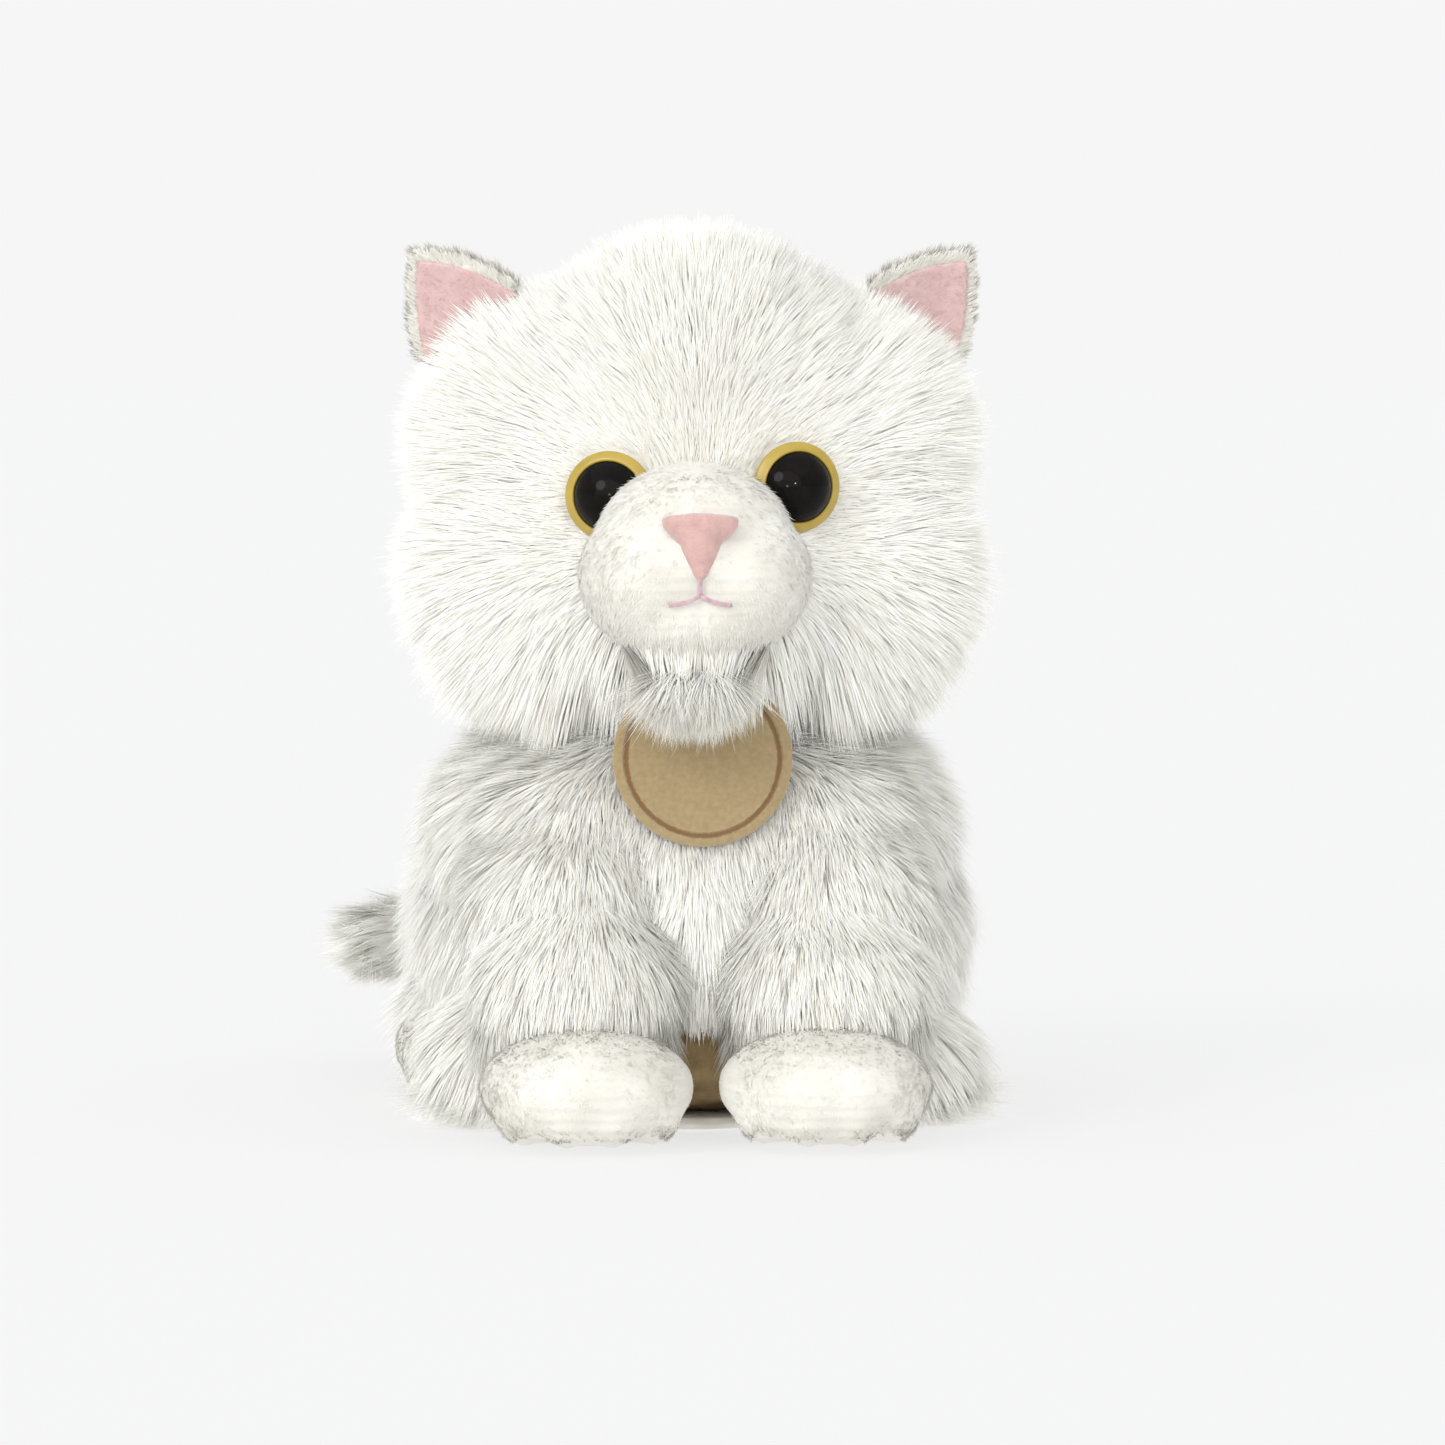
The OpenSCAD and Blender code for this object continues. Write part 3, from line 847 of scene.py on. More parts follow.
def build_muzzle():
    s = bpy.context.scene.cat_pile
    skin = sew(
        "muzzle_cover",
        [
            lump((FACE_SHIFT, -52, 126), (20, 21, 14)),
            lump((FACE_SHIFT, -57, 121), (14, 19, 12)),
            lump((FACE_SHIFT + 8.5, -56, 117), (15.5, 19, 15)),
            lump((FACE_SHIFT - 8.5, -56, 117), (15.5, 19, 15)),
            lump((FACE_SHIFT, -56, 110), (17.5, 18, 12)),
        ],
        voxel=1.4,
        rounds=7,
    )
    sink_seam(skin, lambda p: np.where(p[:, 2] < 119, np.abs(p[:, 0] - FACE_SHIFT), 9), 0.7, 1.2)
    dress(skin, "head", "short_pile_fur", knitted_backing())
    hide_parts("muzzle_skin")

    roots = Roots(skin, s.short_density, 110)
    p = roots.at
    roots.keep(p[:, 1] < -42)
    p = roots.at
    across = np.abs(p[:, 0] - FACE_SHIFT)
    arm = np.minimum(across, MOUTH_REACH)
    line_z = MOUTH_Z - MOUTH_DROP * arm / MOUTH_REACH
    to_arm = np.hypot(np.maximum(across - MOUTH_REACH, 0), p[:, 2] - line_z)
    to_groove = np.where((p[:, 2] > MOUTH_Z) & (p[:, 2] < NOSE_TOP - NOSE_H + 1), across, 9)
    gap = np.where(p[:, 1] < -64, np.minimum(to_arm, to_groove), 9)
    shown = gap > 0.3
    roots.keep(shown)
    p, gap = roots.at, gap[shown]
    away = np.linalg.norm(p - NOSE_TIP, axis=1)
    length = s.muzzle_mm * (0.7 + 0.3 * step(6, 18, away)) + 2.0 * step(108, 99, p[:, 2])
    length = length * (0.5 + 0.5 * step(0.3, 2.0, gap))
    flow = unit(p - np.array([FACE_SHIFT, -58, 124])) + np.array([0, 0, -0.35])
    pile = comb(
        "muzzle_pile",
        roots,
        length,
        flow,
        0.2,
        0.1,
        per_mm2=s.short_density,
        lock_mm2=3,
        draw=0.1,
        width=s.short_fibre_mm,
        kind="short",
        loose=0.12,
    )
    hang(pile, "head")

    roots = Roots(skin, s.chin_density, 111)
    roots.keep((roots.at[:, 2] < 104) & (roots.at[:, 1] < -46) & (np.abs(roots.at[:, 0]) < 22))
    p = roots.at
    hair = comb(
        "chin_pile",
        roots,
        s.chin_mm * (0.68 - 0.08 * step(99, 104, p[:, 2])),
        np.stack([p[:, 0] * 0.02, -0.25 + 0 * p[:, 0], -np.ones(len(p))], 1),
        0.25,
        0.45,
        per_mm2=s.chin_density,
        width=s.fibre_mm,
        draw=0.3,
    )
    hang(hair, "head")
    return skin


def muzzle_front(tree, x, z):
    hit = tree.ray_cast(Vector((x * MM, -0.12, z * MM)), Vector((0, 1, 0)))
    return hit[0].y / MM if hit[0] else -74.0


def nose_half_width(v):
    """Half width of the nose, from its top at 0 to its point at 1."""
    return np.interp(v, [0, 0.04, 0.1, 0.22, 0.34, 0.48, 0.76, 1], [5.2, 7.0, 7.9, 7.6, 6.0, 4.2, 2.9, 0.8])


def build_nose_and_mouth():
    pick_only(None)
    bpy.ops.mesh.primitive_uv_sphere_add(segments=48, ring_count=40, radius=1, location=(0, 0, 0))
    nose = bpy.context.object
    nose.name = nose.data.name = "nose_pad"
    p = read_points(nose) * MM
    ring = np.maximum(np.sqrt(np.maximum(1 - p[:, 2] ** 2, 0)), 1e-6)
    cap = np.minimum(ring * 2.2, 1)
    v = (1 - p[:, 2]) / 2
    x = p[:, 0] / ring * nose_half_width(v) * cap
    deep = 4.0 - 1.7 * v
    y = NOSE_Y + p[:, 1] / ring * deep * cap + 1.6 * v * v
    z = NOSE_TOP - v * NOSE_H
    lobe = np.exp(-((np.abs(x) - 4.7) ** 2 / 3.0 + (z - NOSE_TOP + 5.9) ** 2 / 1.6))
    y = np.where(p[:, 1] < 0, y + 1.3 * lobe, y)
    y = np.where((p[:, 1] < 0), y - 0.5 * np.exp(-(x**2) / 9), y)
    write_points(nose, np.stack([x + FACE_SHIFT, y, z], 1))
    outward(nose)
    modify(nose, "REMESH", mode="VOXEL", voxel_size=0.45 * MM)
    modify(nose, "SMOOTH", factor=0.5, iterations=4)
    ruffle(nose, 1.1, 0.22, 3)
    dress(nose, "head", "nose_flock", nose_flock())
    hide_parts("nose")

    skin = bpy.data.objects["muzzle_cover"]
    tree = BVHTree.FromObject(skin, bpy.context.evaluated_depsgraph_get())
    proud = bpy.context.scene.cat_pile.muzzle_mm * 0.5
    strands = []
    for nudge in (-0.18, 0.18):
        top = [
            (FACE_SHIFT + nudge, muzzle_front(tree, FACE_SHIFT, z) - proud, z)
            for z in np.linspace(NOSE_TOP - NOSE_H + 1.0, MOUTH_Z, 7)
        ]
        strands.append(tube("mouth_ply", top, 0.24))
        for side in (LEFT, RIGHT):
            arm = []
            for k in np.linspace(0, 1, 12):
                x = FACE_SHIFT + side * MOUTH_REACH * k
                z = MOUTH_Z - MOUTH_DROP * (k**0.8) - 0.5 * math.sin(k * math.pi) * 0.6 + nudge
                arm.append((x, muzzle_front(tree, x, z) - proud + 0.25 * k, z))
            strands.append(tube("mouth_ply", arm, 0.26))
    mouth = join(strands, "mouth_embroidery")
    c = bpy.context.scene.cat_colours
    dress(mouth, "head", "mouth_thread", cotton_thread("rayon_embroidery_thread", c.mouth_thread))
    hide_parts("mouth_stitch")


def cap_arc(radius, rise, base, start, count):
    """Points of a spherical cap's outline from a radius in to its middle."""
    r = (radius * radius + rise * rise) / (2 * rise)
    return [
        (q, base + rise - r + math.sqrt(r * r - q * q)) for q in np.linspace(start, 0, count)
    ]


def build_eyes():
    for word, side in SIDES.items():
        place = eye_matrix(side)
        dome = cap_arc(IRIS_R, IRIS_RISE, 0, IRIS_R - 0.25, 20)
        ring = [(q, z) for q, z in dome if q > PUPIL_R + 0.1]
        base = spin_part(
            f"eye_base_{word}",
            [
                (0, -SHANK_L),
                (SHANK_R - 0.4, -SHANK_L),
                (SHANK_R, -SHANK_L + 0.6),
                (SHANK_R, -IRIS_BACK - 0.4),
                (SHANK_R + 0.4, -IRIS_BACK),
                (IRIS_R - 0.5, -IRIS_BACK),
                (IRIS_R - 0.12, -IRIS_BACK + 0.3),
                (IRIS_R, -0.4),
                (IRIS_R - 0.05, 0.0),
            ]
            + ring
            + [(PUPIL_R + 0.08, ring[-1][1] - 0.1), (PUPIL_R + 0.05, PUPIL_FLOOR), (0, PUPIL_FLOOR)],
            72,
        )
        base.data.transform(place)
        dress(base, "head", "eye_yellow", eye_yellow())
        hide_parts(f"eye_iris_{word}")
        ball = cap_arc(PUPIL_R, PUPIL_RISE, PUPIL_FLOOR, PUPIL_R, 26)
        pupil = spin_part(
            f"eye_dome_{word}",
            [(0, PUPIL_FLOOR + 0.02), (PUPIL_R - 0.3, PUPIL_FLOOR + 0.02), (PUPIL_R - 0.02, PUPIL_FLOOR + 0.1)]
            + ball[1:],
            72,
        )
        pupil.data.transform(place)
        dress(pupil, "head", "eye_black", eye_black())
        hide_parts(f"eye_pupil_{word}")
        low, high = WASHER_Z, WASHER_Z + WASHER_T
        washer = spin_part(
            f"eye_lock_washer_{word}",
            [
                (SHANK_R + 0.05, low + 0.4),
                (SHANK_R + 1.4, low),
                (WASHER_R - 0.6, low),
                (WASHER_R, low + 0.5),
                (WASHER_R, high - 0.5),
                (WASHER_R - 0.5, high),
                (WASHER_R - 1.8, high),
                (WASHER_R - 2.4, high - 0.6),
                (SHANK_R + 1.6, high - 0.6),
                (SHANK_R + 0.05, high - 0.2),
                (SHANK_R + 0.05, low + 0.4),
            ],
            36,
        )
        washer.data.transform(place)
        dress(washer, "head", "washer_plastic", washer_plastic())
        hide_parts(f"eye_washer_{word}")


def build_ears():
    s = bpy.context.scene.cat_pile
    for word, side in SIDES.items():
        place = ear_matrix(side)
        back_turn = np.array(place.to_3x3())
        origin = np.array(place.translation)
        local = lambda q: (q - origin) @ back_turn

        cloth = copy_node(f"ear_back_{word}", f"ear_cover_{word}")
        modify(cloth, "REMESH", mode="VOXEL", voxel_size=0.8 * MM)
        modify(cloth, "SMOOTH", factor=0.5, iterations=5)
        smooth(cloth)
        dress(cloth, f"ear_{word}", "ear_fur", knitted_backing())
        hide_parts(f"ear_back_{word}")

        lining = copy_node(f"ear_lining_{word}", f"ear_lining_velour_{word}")
        q = local(read_points(lining))
        q = np.array([0, 0, 8.0]) + (q - np.array([0, 0, 8.0])) * np.array([1.16, 1, 1.16])
        write_points(lining, q @ back_turn.T + origin)
        modify(lining, "REMESH", mode="VOXEL", voxel_size=0.5 * MM)
        modify(lining, "SMOOTH", factor=0.5, iterations=3)
        ruffle(lining, 2.5, 0.3, 2)
        dress(lining, f"ear_{word}", "ear_velour_pink", ear_velour())
        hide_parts(f"ear_lining_{word}")

        half, long_edge = EAR_W / 2, math.hypot(EAR_W / 2, EAR_H)
        reach = math.sqrt(EAR_EDGE_R**2 - long_edge**2 / 4)
        centre_x = reach * EAR_H / long_edge - half / 2
        centre_z = EAR_H / 2 - reach * half / long_edge
        to_edge = lambda q: EAR_EDGE_R - np.hypot(np.abs(q[:, 0]) + centre_x, q[:, 2] - centre_z)
        roots = Roots(cloth, s.ear_density, 130 + side)
        q = local(roots.at)
        edge = to_edge(q)
        behind = (roots.out @ back_turn)[:, 1] > 0.05
        roots.keep((q[:, 2] > 0.5) & (behind | (edge < 2.6)))
        q = local(roots.at)
        edge = to_edge(q)
        forward = (roots.out @ back_turn)[:, 1] < 0.05
        toward = np.stack([np.sign(q[:, 0]) * 0.55 * (1 - q[:, 2] / 24), 0 * q[:, 0], np.ones(len(q))], 1)
        flow = toward @ back_turn.T
        length = s.ear_mm * (1 - 0.35 * step(3.0, 0.5, edge) * forward)
        pile = comb(
            f"ear_pile_{word}",
            roots,
            length,
            flow,
            np.where(forward, 0.35, 0.45),
            0.0,
            per_mm2=s.ear_density,
            lock_mm2=4,
            draw=0.35,
            width=s.short_fibre_mm,
            kind="short",
        )
        hang(pile, f"ear_{word}")

        nap = Roots(lining, 9, 140 + side)
        nap.keep((nap.out @ back_turn)[:, 1] < -0.2)
        tip = np.broadcast_to(np.array([0.2 * side, 0, 1.0]) @ back_turn.T, nap.at.shape)
        velour = comb(
            f"ear_nap_{word}",
            nap,
            1.3,
            tip,
            0.5,
            0.0,
            per_mm2=9,
            lock_mm2=2,
            draw=0.15,
            width=0.2,
            kind="velour",
            soft=0.8,
        )
        hang(velour, f"ear_{word}")


# ---------------------------------------------------------------- body
def press_flat(obj, height):
    """Rests a skin's underside flat at a height."""
    points = read_points(obj)
    points[:, 2] = np.maximum(points[:, 2], height)
    write_points(obj, points)


def leg_rooms(grow=0.0):
    """Room that the legs, neck and tail take in the torso, as ellipsoids."""
    g = grow
    rooms = [(NECK, (21 + g, 21 + g, 19 + g)), ((0, 104, 30), (9 + g,) * 3)]
    for side in (LEFT, RIGHT):
        rooms += [
            ((side * 27, -30, 44), (15 + g, 17 + g, 17 + g)),
            ((side * 26, -44, 32), (16 + g, 17 + g, 17 + g)),
            ((side * 25, -60, 12.5), (19 + g, 22 + g, 10 + g)),
            ((side * HIP[0], HIP[1], HIP[2]), (15 + g, 27 + g, 27 + g)),
            ((side * 50, 36, 11), (9 + g, 24 + g, 7 + g)),
        ]
    return rooms


def build_torso():
    s = bpy.context.scene.cat_pile
    skin = sew(
        "torso_cover",
        [
            lump((0, -3, 50), (48, 36, 37)),
            lump((0, -22, 66), (38, 20, 20)),
            lump((28, -1, 61), (25, 34, 23)),
            lump((-28, -1, 61), (25, 34, 23)),
            lump((38, 12, 41), (20, 36, 26)),
            lump((-35, 14, 42), (20, 36, 25)),
            lump((42, -3, 16), (17, 26, 14)),
            lump((-38, -8, 17), (17, 22, 15)),
            lump((23, -27, 60), (21, 18, 20)),
            lump((-23, -27, 60), (21, 18, 20)),
            lump((0, -34, 44), (11, 17, 20)),
            lump((0, -30, 58), (36, 16, 18)),
            lump((0, 50, 45), (42, 42, 36)),
            lump((0, 24, 17), (42, 64, 19)),
            lump((0, 20, 60), (40, 40, 24)),
        ],
        voxel=3.0,
    )
    press_flat(skin, 3.2)
    sink_seam(skin, lambda p: np.where(p[:, 2] > 6, np.abs(p[:, 0]), 9))
    dress(skin, "torso", "long_pile_fur", knitted_backing())
    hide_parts("torso_skin_left", "torso_skin_right")

    skin.data.materials.append(bare_backing_painted_shade())
    # Faces in the slit between the front paws take the dark tan backing, and the pile is left out there below:
    # painted shade for the deep shadow between the paws.
    painted_shade_slit = lambda p: (np.abs(p[:, 0]) < 9) & (p[:, 1] < -14) & (p[:, 2] < 27)
    for face in skin.data.polygons:
        face.material_index = int(painted_shade_slit(np.array([face.center[:]]) / MM)[0])

    chest = lambda p: (p[:, 1] < -14) & (np.abs(p[:, 0]) < 40) & (p[:, 2] > 30)
    parts = {
        "torso_pile_left": (201, lambda p: (p[:, 0] >= 0) & ~chest(p), s.body_density),
        "torso_pile_right": (202, lambda p: (p[:, 0] < 0) & ~chest(p), s.body_density),
        "chest_pile": (203, chest, s.body_density * 1.25),
    }
    for name, (seed, keep, density) in parts.items():
        roots = Roots(skin, density, seed)
        roots.keep(keep(roots.at))
        roots.keep((roots.at[:, 2] > 4.5) | (roots.out[:, 2] > -0.6))
        roots.clear_of(*leg_rooms()).keep(~painted_shade_slit(roots.at))
        p, out = roots.at, roots.out
        low = step(26, 6, p[:, 2])
        back = step(-10, 20, p[:, 1])
        flat_out = out.copy()
        flat_out[:, 2] = 0
        flow = np.stack([p[:, 0] * 0.006, 0.15 + 0.55 * back, -np.ones(len(p))], 1) + unit(flat_out) * (
            0.1 + 0.7 * low
        )[:, None]
        length = s.body_mm * (0.8 + 0.2 * back) + 2.0 * low
        length = length * (1 - 0.15 * step(-20, -40, p[:, 1]))
        high = step(52, 70, p[:, 2])
        lift = 0.24 + 0.12 * low + 0.1 * high
        length = length + 4.0 * low * step(0, 30, np.abs(p[:, 0]))
        pile = comb(
            name,
            roots,
            length,
            flow,
            lift,
            0.22 - 0.1 * low,
            per_mm2=density,
            width=s.fibre_mm,
        )
        hang(pile, "torso")


def build_neck():
    """Neck gusset: a ball of short-pile cloth, gathered in small pleats by its ties."""
    pick_only(None)
    bpy.ops.mesh.primitive_uv_sphere_add(
        segments=144, ring_count=48, radius=22.4 * MM, location=[c * MM for c in NECK]
    )
    neck = bpy.context.object
    neck.name = neck.data.name = "neck_gusset_cover"
    fix_place(neck)
    p = read_points(neck) - np.array(NECK, float)
    round_ = np.arctan2(p[:, 1], p[:, 0])
    gather = 0.5 * np.cos(24 * round_) * step(6, 18, np.abs(p[:, 2]))
    p *= 1 + (gather * np.hypot(p[:, 0], p[:, 1]) / 22)[:, None] / 22
    write_points(neck, p + np.array(NECK, float))
    smooth(neck)
    dress(neck, "neck", "short_pile_fur", knitted_backing())
    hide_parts("neck_gusset")


def build_front_legs():
    s = bpy.context.scene.cat_pile
    for word, side in SIDES.items():
        body = f"front_leg_{word}"
        skin = sew(
            f"front_leg_cover_{word}",
            [
                lump((side * 27, -33, 49), (20, 17, 18)),
                lump((side * 25.5, -44, 35), (20, 17, 16)),
                lump((side * 26, -43, 25), (19.5, 16, 11)),
            ],
            voxel=2.0,
        )
        dress(skin, body, "long_pile_fur", knitted_backing())
        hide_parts(f"front_leg_skin_{word}")
        roots = Roots(skin, s.leg_density, 210 + side)
        roots.clear_of(((side * 25, -60, 12.5), (17, 20, 8)), ((0, -2, 50), (44, 34, 36)))
        p, out = roots.at, roots.out
        flow = np.stack([side * 0.12 + 0 * p[:, 0], -0.12 + 0 * p[:, 0], -np.ones(len(p))], 1)
        low = step(36, 24, p[:, 2]) * step(-40, -50, p[:, 1])
        flow[:, 1] -= 0.75 * low
        length = s.leg_mm * (1 + 0.1 * low)
        pile = comb(
            f"front_leg_pile_{word}",
            roots,
            length,
            flow,
            0.3,
            0.15,
            per_mm2=s.leg_density,
            width=s.fibre_mm,
        )
        hang(pile, body)

        toes = []
        for across, forward in ((-13, -67), (-4.6, -72.5), (4.6, -72.5), (13, -67)):
            toes.append(lump((side * (24.4 + across), forward, 9.6), (6.6, 8.4, 8.2)))
        paw = sew(
            f"paw_cover_{word}", [lump((side * 24.4, -60, 12.8), (22.2, 22, 12))] + toes, voxel=1.6, rounds=12
        )
        press_flat(paw, 1.2)
        dress(paw, body, "short_pile_fur", knitted_backing())
        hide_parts(f"paw_skin_{word}")
        roots = Roots(paw, s.paw_density, 220 + side)
        roots.keep((roots.out[:, 2] > -0.9) & (roots.at[:, 1] < -42))
        p = roots.at
        flow = np.stack([(p[:, 0] - side * 25) * 0.03, -1.0 + 0 * p[:, 0], -0.75 + 0 * p[:, 0]], 1)
        inner = step(9, 4.5, np.abs(p[:, 0]))
        length = s.paw_mm * (1 - 0.45 * inner) * (1 - 0.35 * step(-72, -80, p[:, 1]))
        pile = comb(
            f"paw_pile_{word}",
            roots,
            length,
            flow,
            0.2,
            0.08,
            per_mm2=s.paw_density,
            width=s.short_fibre_mm,
            lock_mm2=5,
            draw=0.15,
            kind="short",
            loose=0.13,
        )
        hang(pile, body)


def build_hind_legs():
    s = bpy.context.scene.cat_pile
    for word, side in SIDES.items():
        body = f"hind_leg_{word}"
        x, y, z = HIP
        skin = sew(
            f"haunch_cover_{word}",
            [
                lump((side * x, y, z), (17, 28, 28)),
                lump((side * (x + 5), y - 6, z - 12), (13, 22, 14)),
            ],
            voxel=2.4,
        )
        press_flat(skin, 3.0)
        dress(skin, body, "long_pile_fur", knitted_backing())
        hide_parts(f"haunch_skin_{word}")
        roots = Roots(skin, s.body_density, 230 + side)
        roots.keep((side * roots.at[:, 0] > 36) & (roots.at[:, 2] > 5))
        roots.clear_of(((side * 50, 36, 11), (9, 24, 7)))
        p = roots.at
        low = step(34, 14, p[:, 2])
        flow = np.stack([side * 0.75 * low, 0.3 * (1 - low), -np.ones(len(p))], 1)
        pile = comb(
            f"haunch_pile_{word}",
            roots,
            s.haunch_mm * (1 + 0.35 * low),
            flow,
            0.42,
            0.2,
            per_mm2=s.body_density,
            width=s.fibre_mm,
        )
        hang(pile, body)

        foot = sew(
            f"hind_foot_cover_{word}",
            [
                lump((side * 51, 38, 11.6), (11.4, 24, 9.4)),
                lump((side * 47.5, 17, 10.6), (6.2, 8.6, 7.8)),
                lump((side * 55, 17, 10.6), (6.2, 8.6, 7.8)),
            ],
            voxel=1.6,
            rounds=5,
        )
        press_flat(foot, 1.8)
        dress(foot, body, "short_pile_fur", knitted_backing())
        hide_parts(f"hind_foot_{word}")
        roots = Roots(foot, s.paw_density * 0.8, 240 + side)
        roots.keep(roots.out[:, 2] > -0.75)
        p = roots.at
        flow = np.stack([side * 0.2 + 0 * p[:, 0], -1.0 + 0 * p[:, 0], -0.5 + 0 * p[:, 0]], 1)
        pile = comb(
            f"hind_foot_pile_{word}",
            roots,
            s.paw_mm,
            flow,
            0.22,
            0.08,
            per_mm2=s.paw_density * 0.8,
            width=s.short_fibre_mm,
            lock_mm2=5,
            draw=0.15,
            kind="short",
        )
        hang(pile, body)


def build_tail():
    s = bpy.context.scene.cat_pile
    balls = []
    for k, angle in enumerate(np.linspace(TAIL_FROM, TAIL_TO + 4, 13)):
        a = math.radians(angle)
        at = TAIL_CENTRE + TAIL_R * np.array([math.cos(a), math.sin(a), 0])
        r = 8.6 - 0.16 * k
        balls.append(lump(at, (r, r, r)))
    skin = sew("tail_cover", balls, voxel=1.8, rounds=8)
    dress(skin, "tail", "long_pile_fur", knitted_backing())
    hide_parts("tail_skin")
    roots = Roots(skin, s.tail_density, 250)
    p = roots.at
    spoke = p - TAIL_CENTRE
    spoke[:, 2] = 0
    along = np.stack([-spoke[:, 1], spoke[:, 0], 0 * p[:, 0]], 1)
    end = step(100, TAIL_TO, np.degrees(np.arctan2(spoke[:, 1], spoke[:, 0])))
    length = s.tail_mm * (0.75 + 0.35 * end)
    pile = comb(
        "tail_pile",
        roots,
        length,
        unit(along) + np.array([0, 0, -0.15]),
        0.36 - 0.1 * end,
        0.1,
        per_mm2=s.tail_density,
        width=s.fibre_mm,
        draw=0.55,
    )
    hang(pile, "tail")


def build_belly():
    """Belly panel, pellet bag and blank care label."""
    pick_only(None)
    bpy.ops.mesh.primitive_cylinder_add(
        vertices=96, radius=1, depth=2.6 * MM, location=(0, 28 * MM, 1.5 * MM), scale=(32.6 * MM, 57.6 * MM, 1)
    )
    panel = bpy.context.object
    panel.name = panel.data.name = "belly_panel_cloth"
    fix_place(panel)
    bpy.ops.object.mode_set(mode="EDIT")
    mesh = bmesh.from_edit_mesh(panel.data)
    for face in mesh.faces:
        face.select = face.normal.z < -0.5
    bmesh.update_edit_mesh(panel.data)
    for thick, rise in ((2.5, 0.0), (0.8, 0.7), (0.8, -0.5)):
        bpy.ops.mesh.inset(thickness=thick * MM, depth=-rise * MM)
    bpy.ops.object.mode_set(mode="OBJECT")
    modify(panel, "BEVEL", width=0.5 * MM, segments=3, limit_method="ANGLE", angle_limit=0.6)
    modify(panel, "TRIANGULATE")
    modify(panel, "REMESH", mode="VOXEL", voxel_size=0.9 * MM)
    modify(panel, "SMOOTH", factor=0.5, iterations=2)
    press_flat(panel, 0.05)
    smooth(panel)
    dress(panel, "torso", "short_pile_fur", knitted_backing())
    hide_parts("belly_panel")

    bag = sew("pellet_bag_cover", [lump((0, 28, 17), (26, 41, 10.6))], voxel=2.0, rounds=2)
    sink_seam(bag, lambda q: np.abs(q[:, 2] - 17), -0.8, 1.0)
    ruffle(bag, 4, 1.5, 1)
    dress(bag, "torso", "pellet_bag_cloth", bag_cloth())
    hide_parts("pellet_bag")

    pick_only(None)
    bpy.ops.mesh.primitive_cube_add(
        size=1, location=(37 * MM, 96 * MM, 12.3 * MM), scale=(14 * MM, 26 * MM, 0.5 * MM)
    )
    label = bpy.context.object
    label.name = label.data.name = "care_label_ribbon"
    fix_place(label)
    bpy.ops.object.mode_set(mode="EDIT")
    bpy.ops.mesh.select_all(action="SELECT")
    bpy.ops.mesh.subdivide(number_cuts=14)
    bpy.ops.object.mode_set(mode="OBJECT")
    q = read_points(label)
    q[:, 2] += 0.25 * np.sin((q[:, 1] - 83) / 26 * math.pi * 2) * step(83, 90, q[:, 1])
    write_points(label, q)
    modify(label, "BEVEL", width=0.12 * MM, segments=2, limit_method="ANGLE", angle_limit=0.9)
    smooth(label)
    dress(label, "torso", "label_satin", label_satin())
    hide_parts("care_label")


def build_fill():
    for node, body in (
        ("torso_stuffing", "torso"),
        ("head_stuffing", "head"),
        ("muzzle_stuffing", "head"),
        ("front_leg_stuffing_left", "front_leg_left"),
        ("front_leg_stuffing_right", "front_leg_right"),
        ("haunch_stuffing_left", "hind_leg_left"),
        ("haunch_stuffing_right", "hind_leg_right"),
        ("tail_stuffing", "tail"),
    ):
        voxel = 3.2 if node in ("torso_stuffing", "head_stuffing") else 2.0
        fill_piece(node, body, voxel)
    for word in SIDES:
        node = f"paw_pellets_{word}"
        bag = copy_node(node, node + "_bag")
        modify(bag, "REMESH", mode="VOXEL", voxel_size=1.4 * MM)
        ruffle(bag, 3, 1.0, 1)
        dress(bag, f"front_leg_{word}", "pellet_bag_cloth", bag_cloth())
        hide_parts(node)


def build_tag():
    """Suede medallion with a punched hole and a stamped ring, and its twisted thread."""
    r, t = TAG_R, TAG_T / 2
    disc = spin_part(
        "medallion",
        [
            (0, -t),
            (r - 0.4, -t),
            (r - 0.08, -t + 0.25),
            (r, 0),
            (r - 0.08, t - 0.25),
            (r - 0.45, t),
            (r - 1.9, t),
            (r - 2.1, t - 0.18),
            (r - 2.7, t - 0.18),
            (r - 2.9, t),
            (r - 8, t),
            (0, t),
        ],
        96,
    )
    pick_only(None)
    bpy.ops.mesh.primitive_cylinder_add(
        vertices=32, radius=TAG_HOLE_R * MM, depth=0.01, location=(0, TAG_HOLE_UP * MM, 0)
    )
    punch = bpy.context.object
    modify(disc, "BOOLEAN", operation="DIFFERENCE", object=punch, solver="EXACT")
    bpy.data.objects.remove(punch)
    lean = math.radians(TAG_LEAN)
    place = (
        Matrix.Translation([c * MM for c in TAG])
        @ Matrix.Rotation(-lean, 4, "X")
        @ Matrix.Rotation(math.radians(90), 4, "X")
    )
    disc.data.transform(place)
    outward(disc)
    smooth(disc)
    pick_only(disc)
    bpy.ops.object.shade_smooth_by_angle(angle=math.radians(35))
    dress(disc, "tag", "tag_suede", tag_suede())
    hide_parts("tag_disc")

    ends = [(0, -47.4, 93.6), (0, -39.5, 93.6), (0, -36.5, 78)]
    legs = []
    for a, b in zip(ends, ends[1:]):
        legs += [tuple(np.array(a) + (np.array(b) - np.array(a)) * k) for k in np.linspace(0, 1, 24)]
    plies = []
    for phase in (0, math.pi):
        turns = [
            (
                q[0] + 0.22 * math.cos(i * 0.9 + phase),
                q[1] + 0.22 * math.sin(i * 0.9 + phase),
                q[2] + 0.22 * math.sin(i * 0.9 + phase),
            )
            for i, q in enumerate(legs)
        ]
        plies.append(tube("thread_ply", turns, 0.28))
    thread = join(plies, "medallion_thread")
    dress(thread, "torso", "tag_thread", cotton_thread("polyester_tying_thread", linear("#E8E4D9")))
    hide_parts("tag_thread")


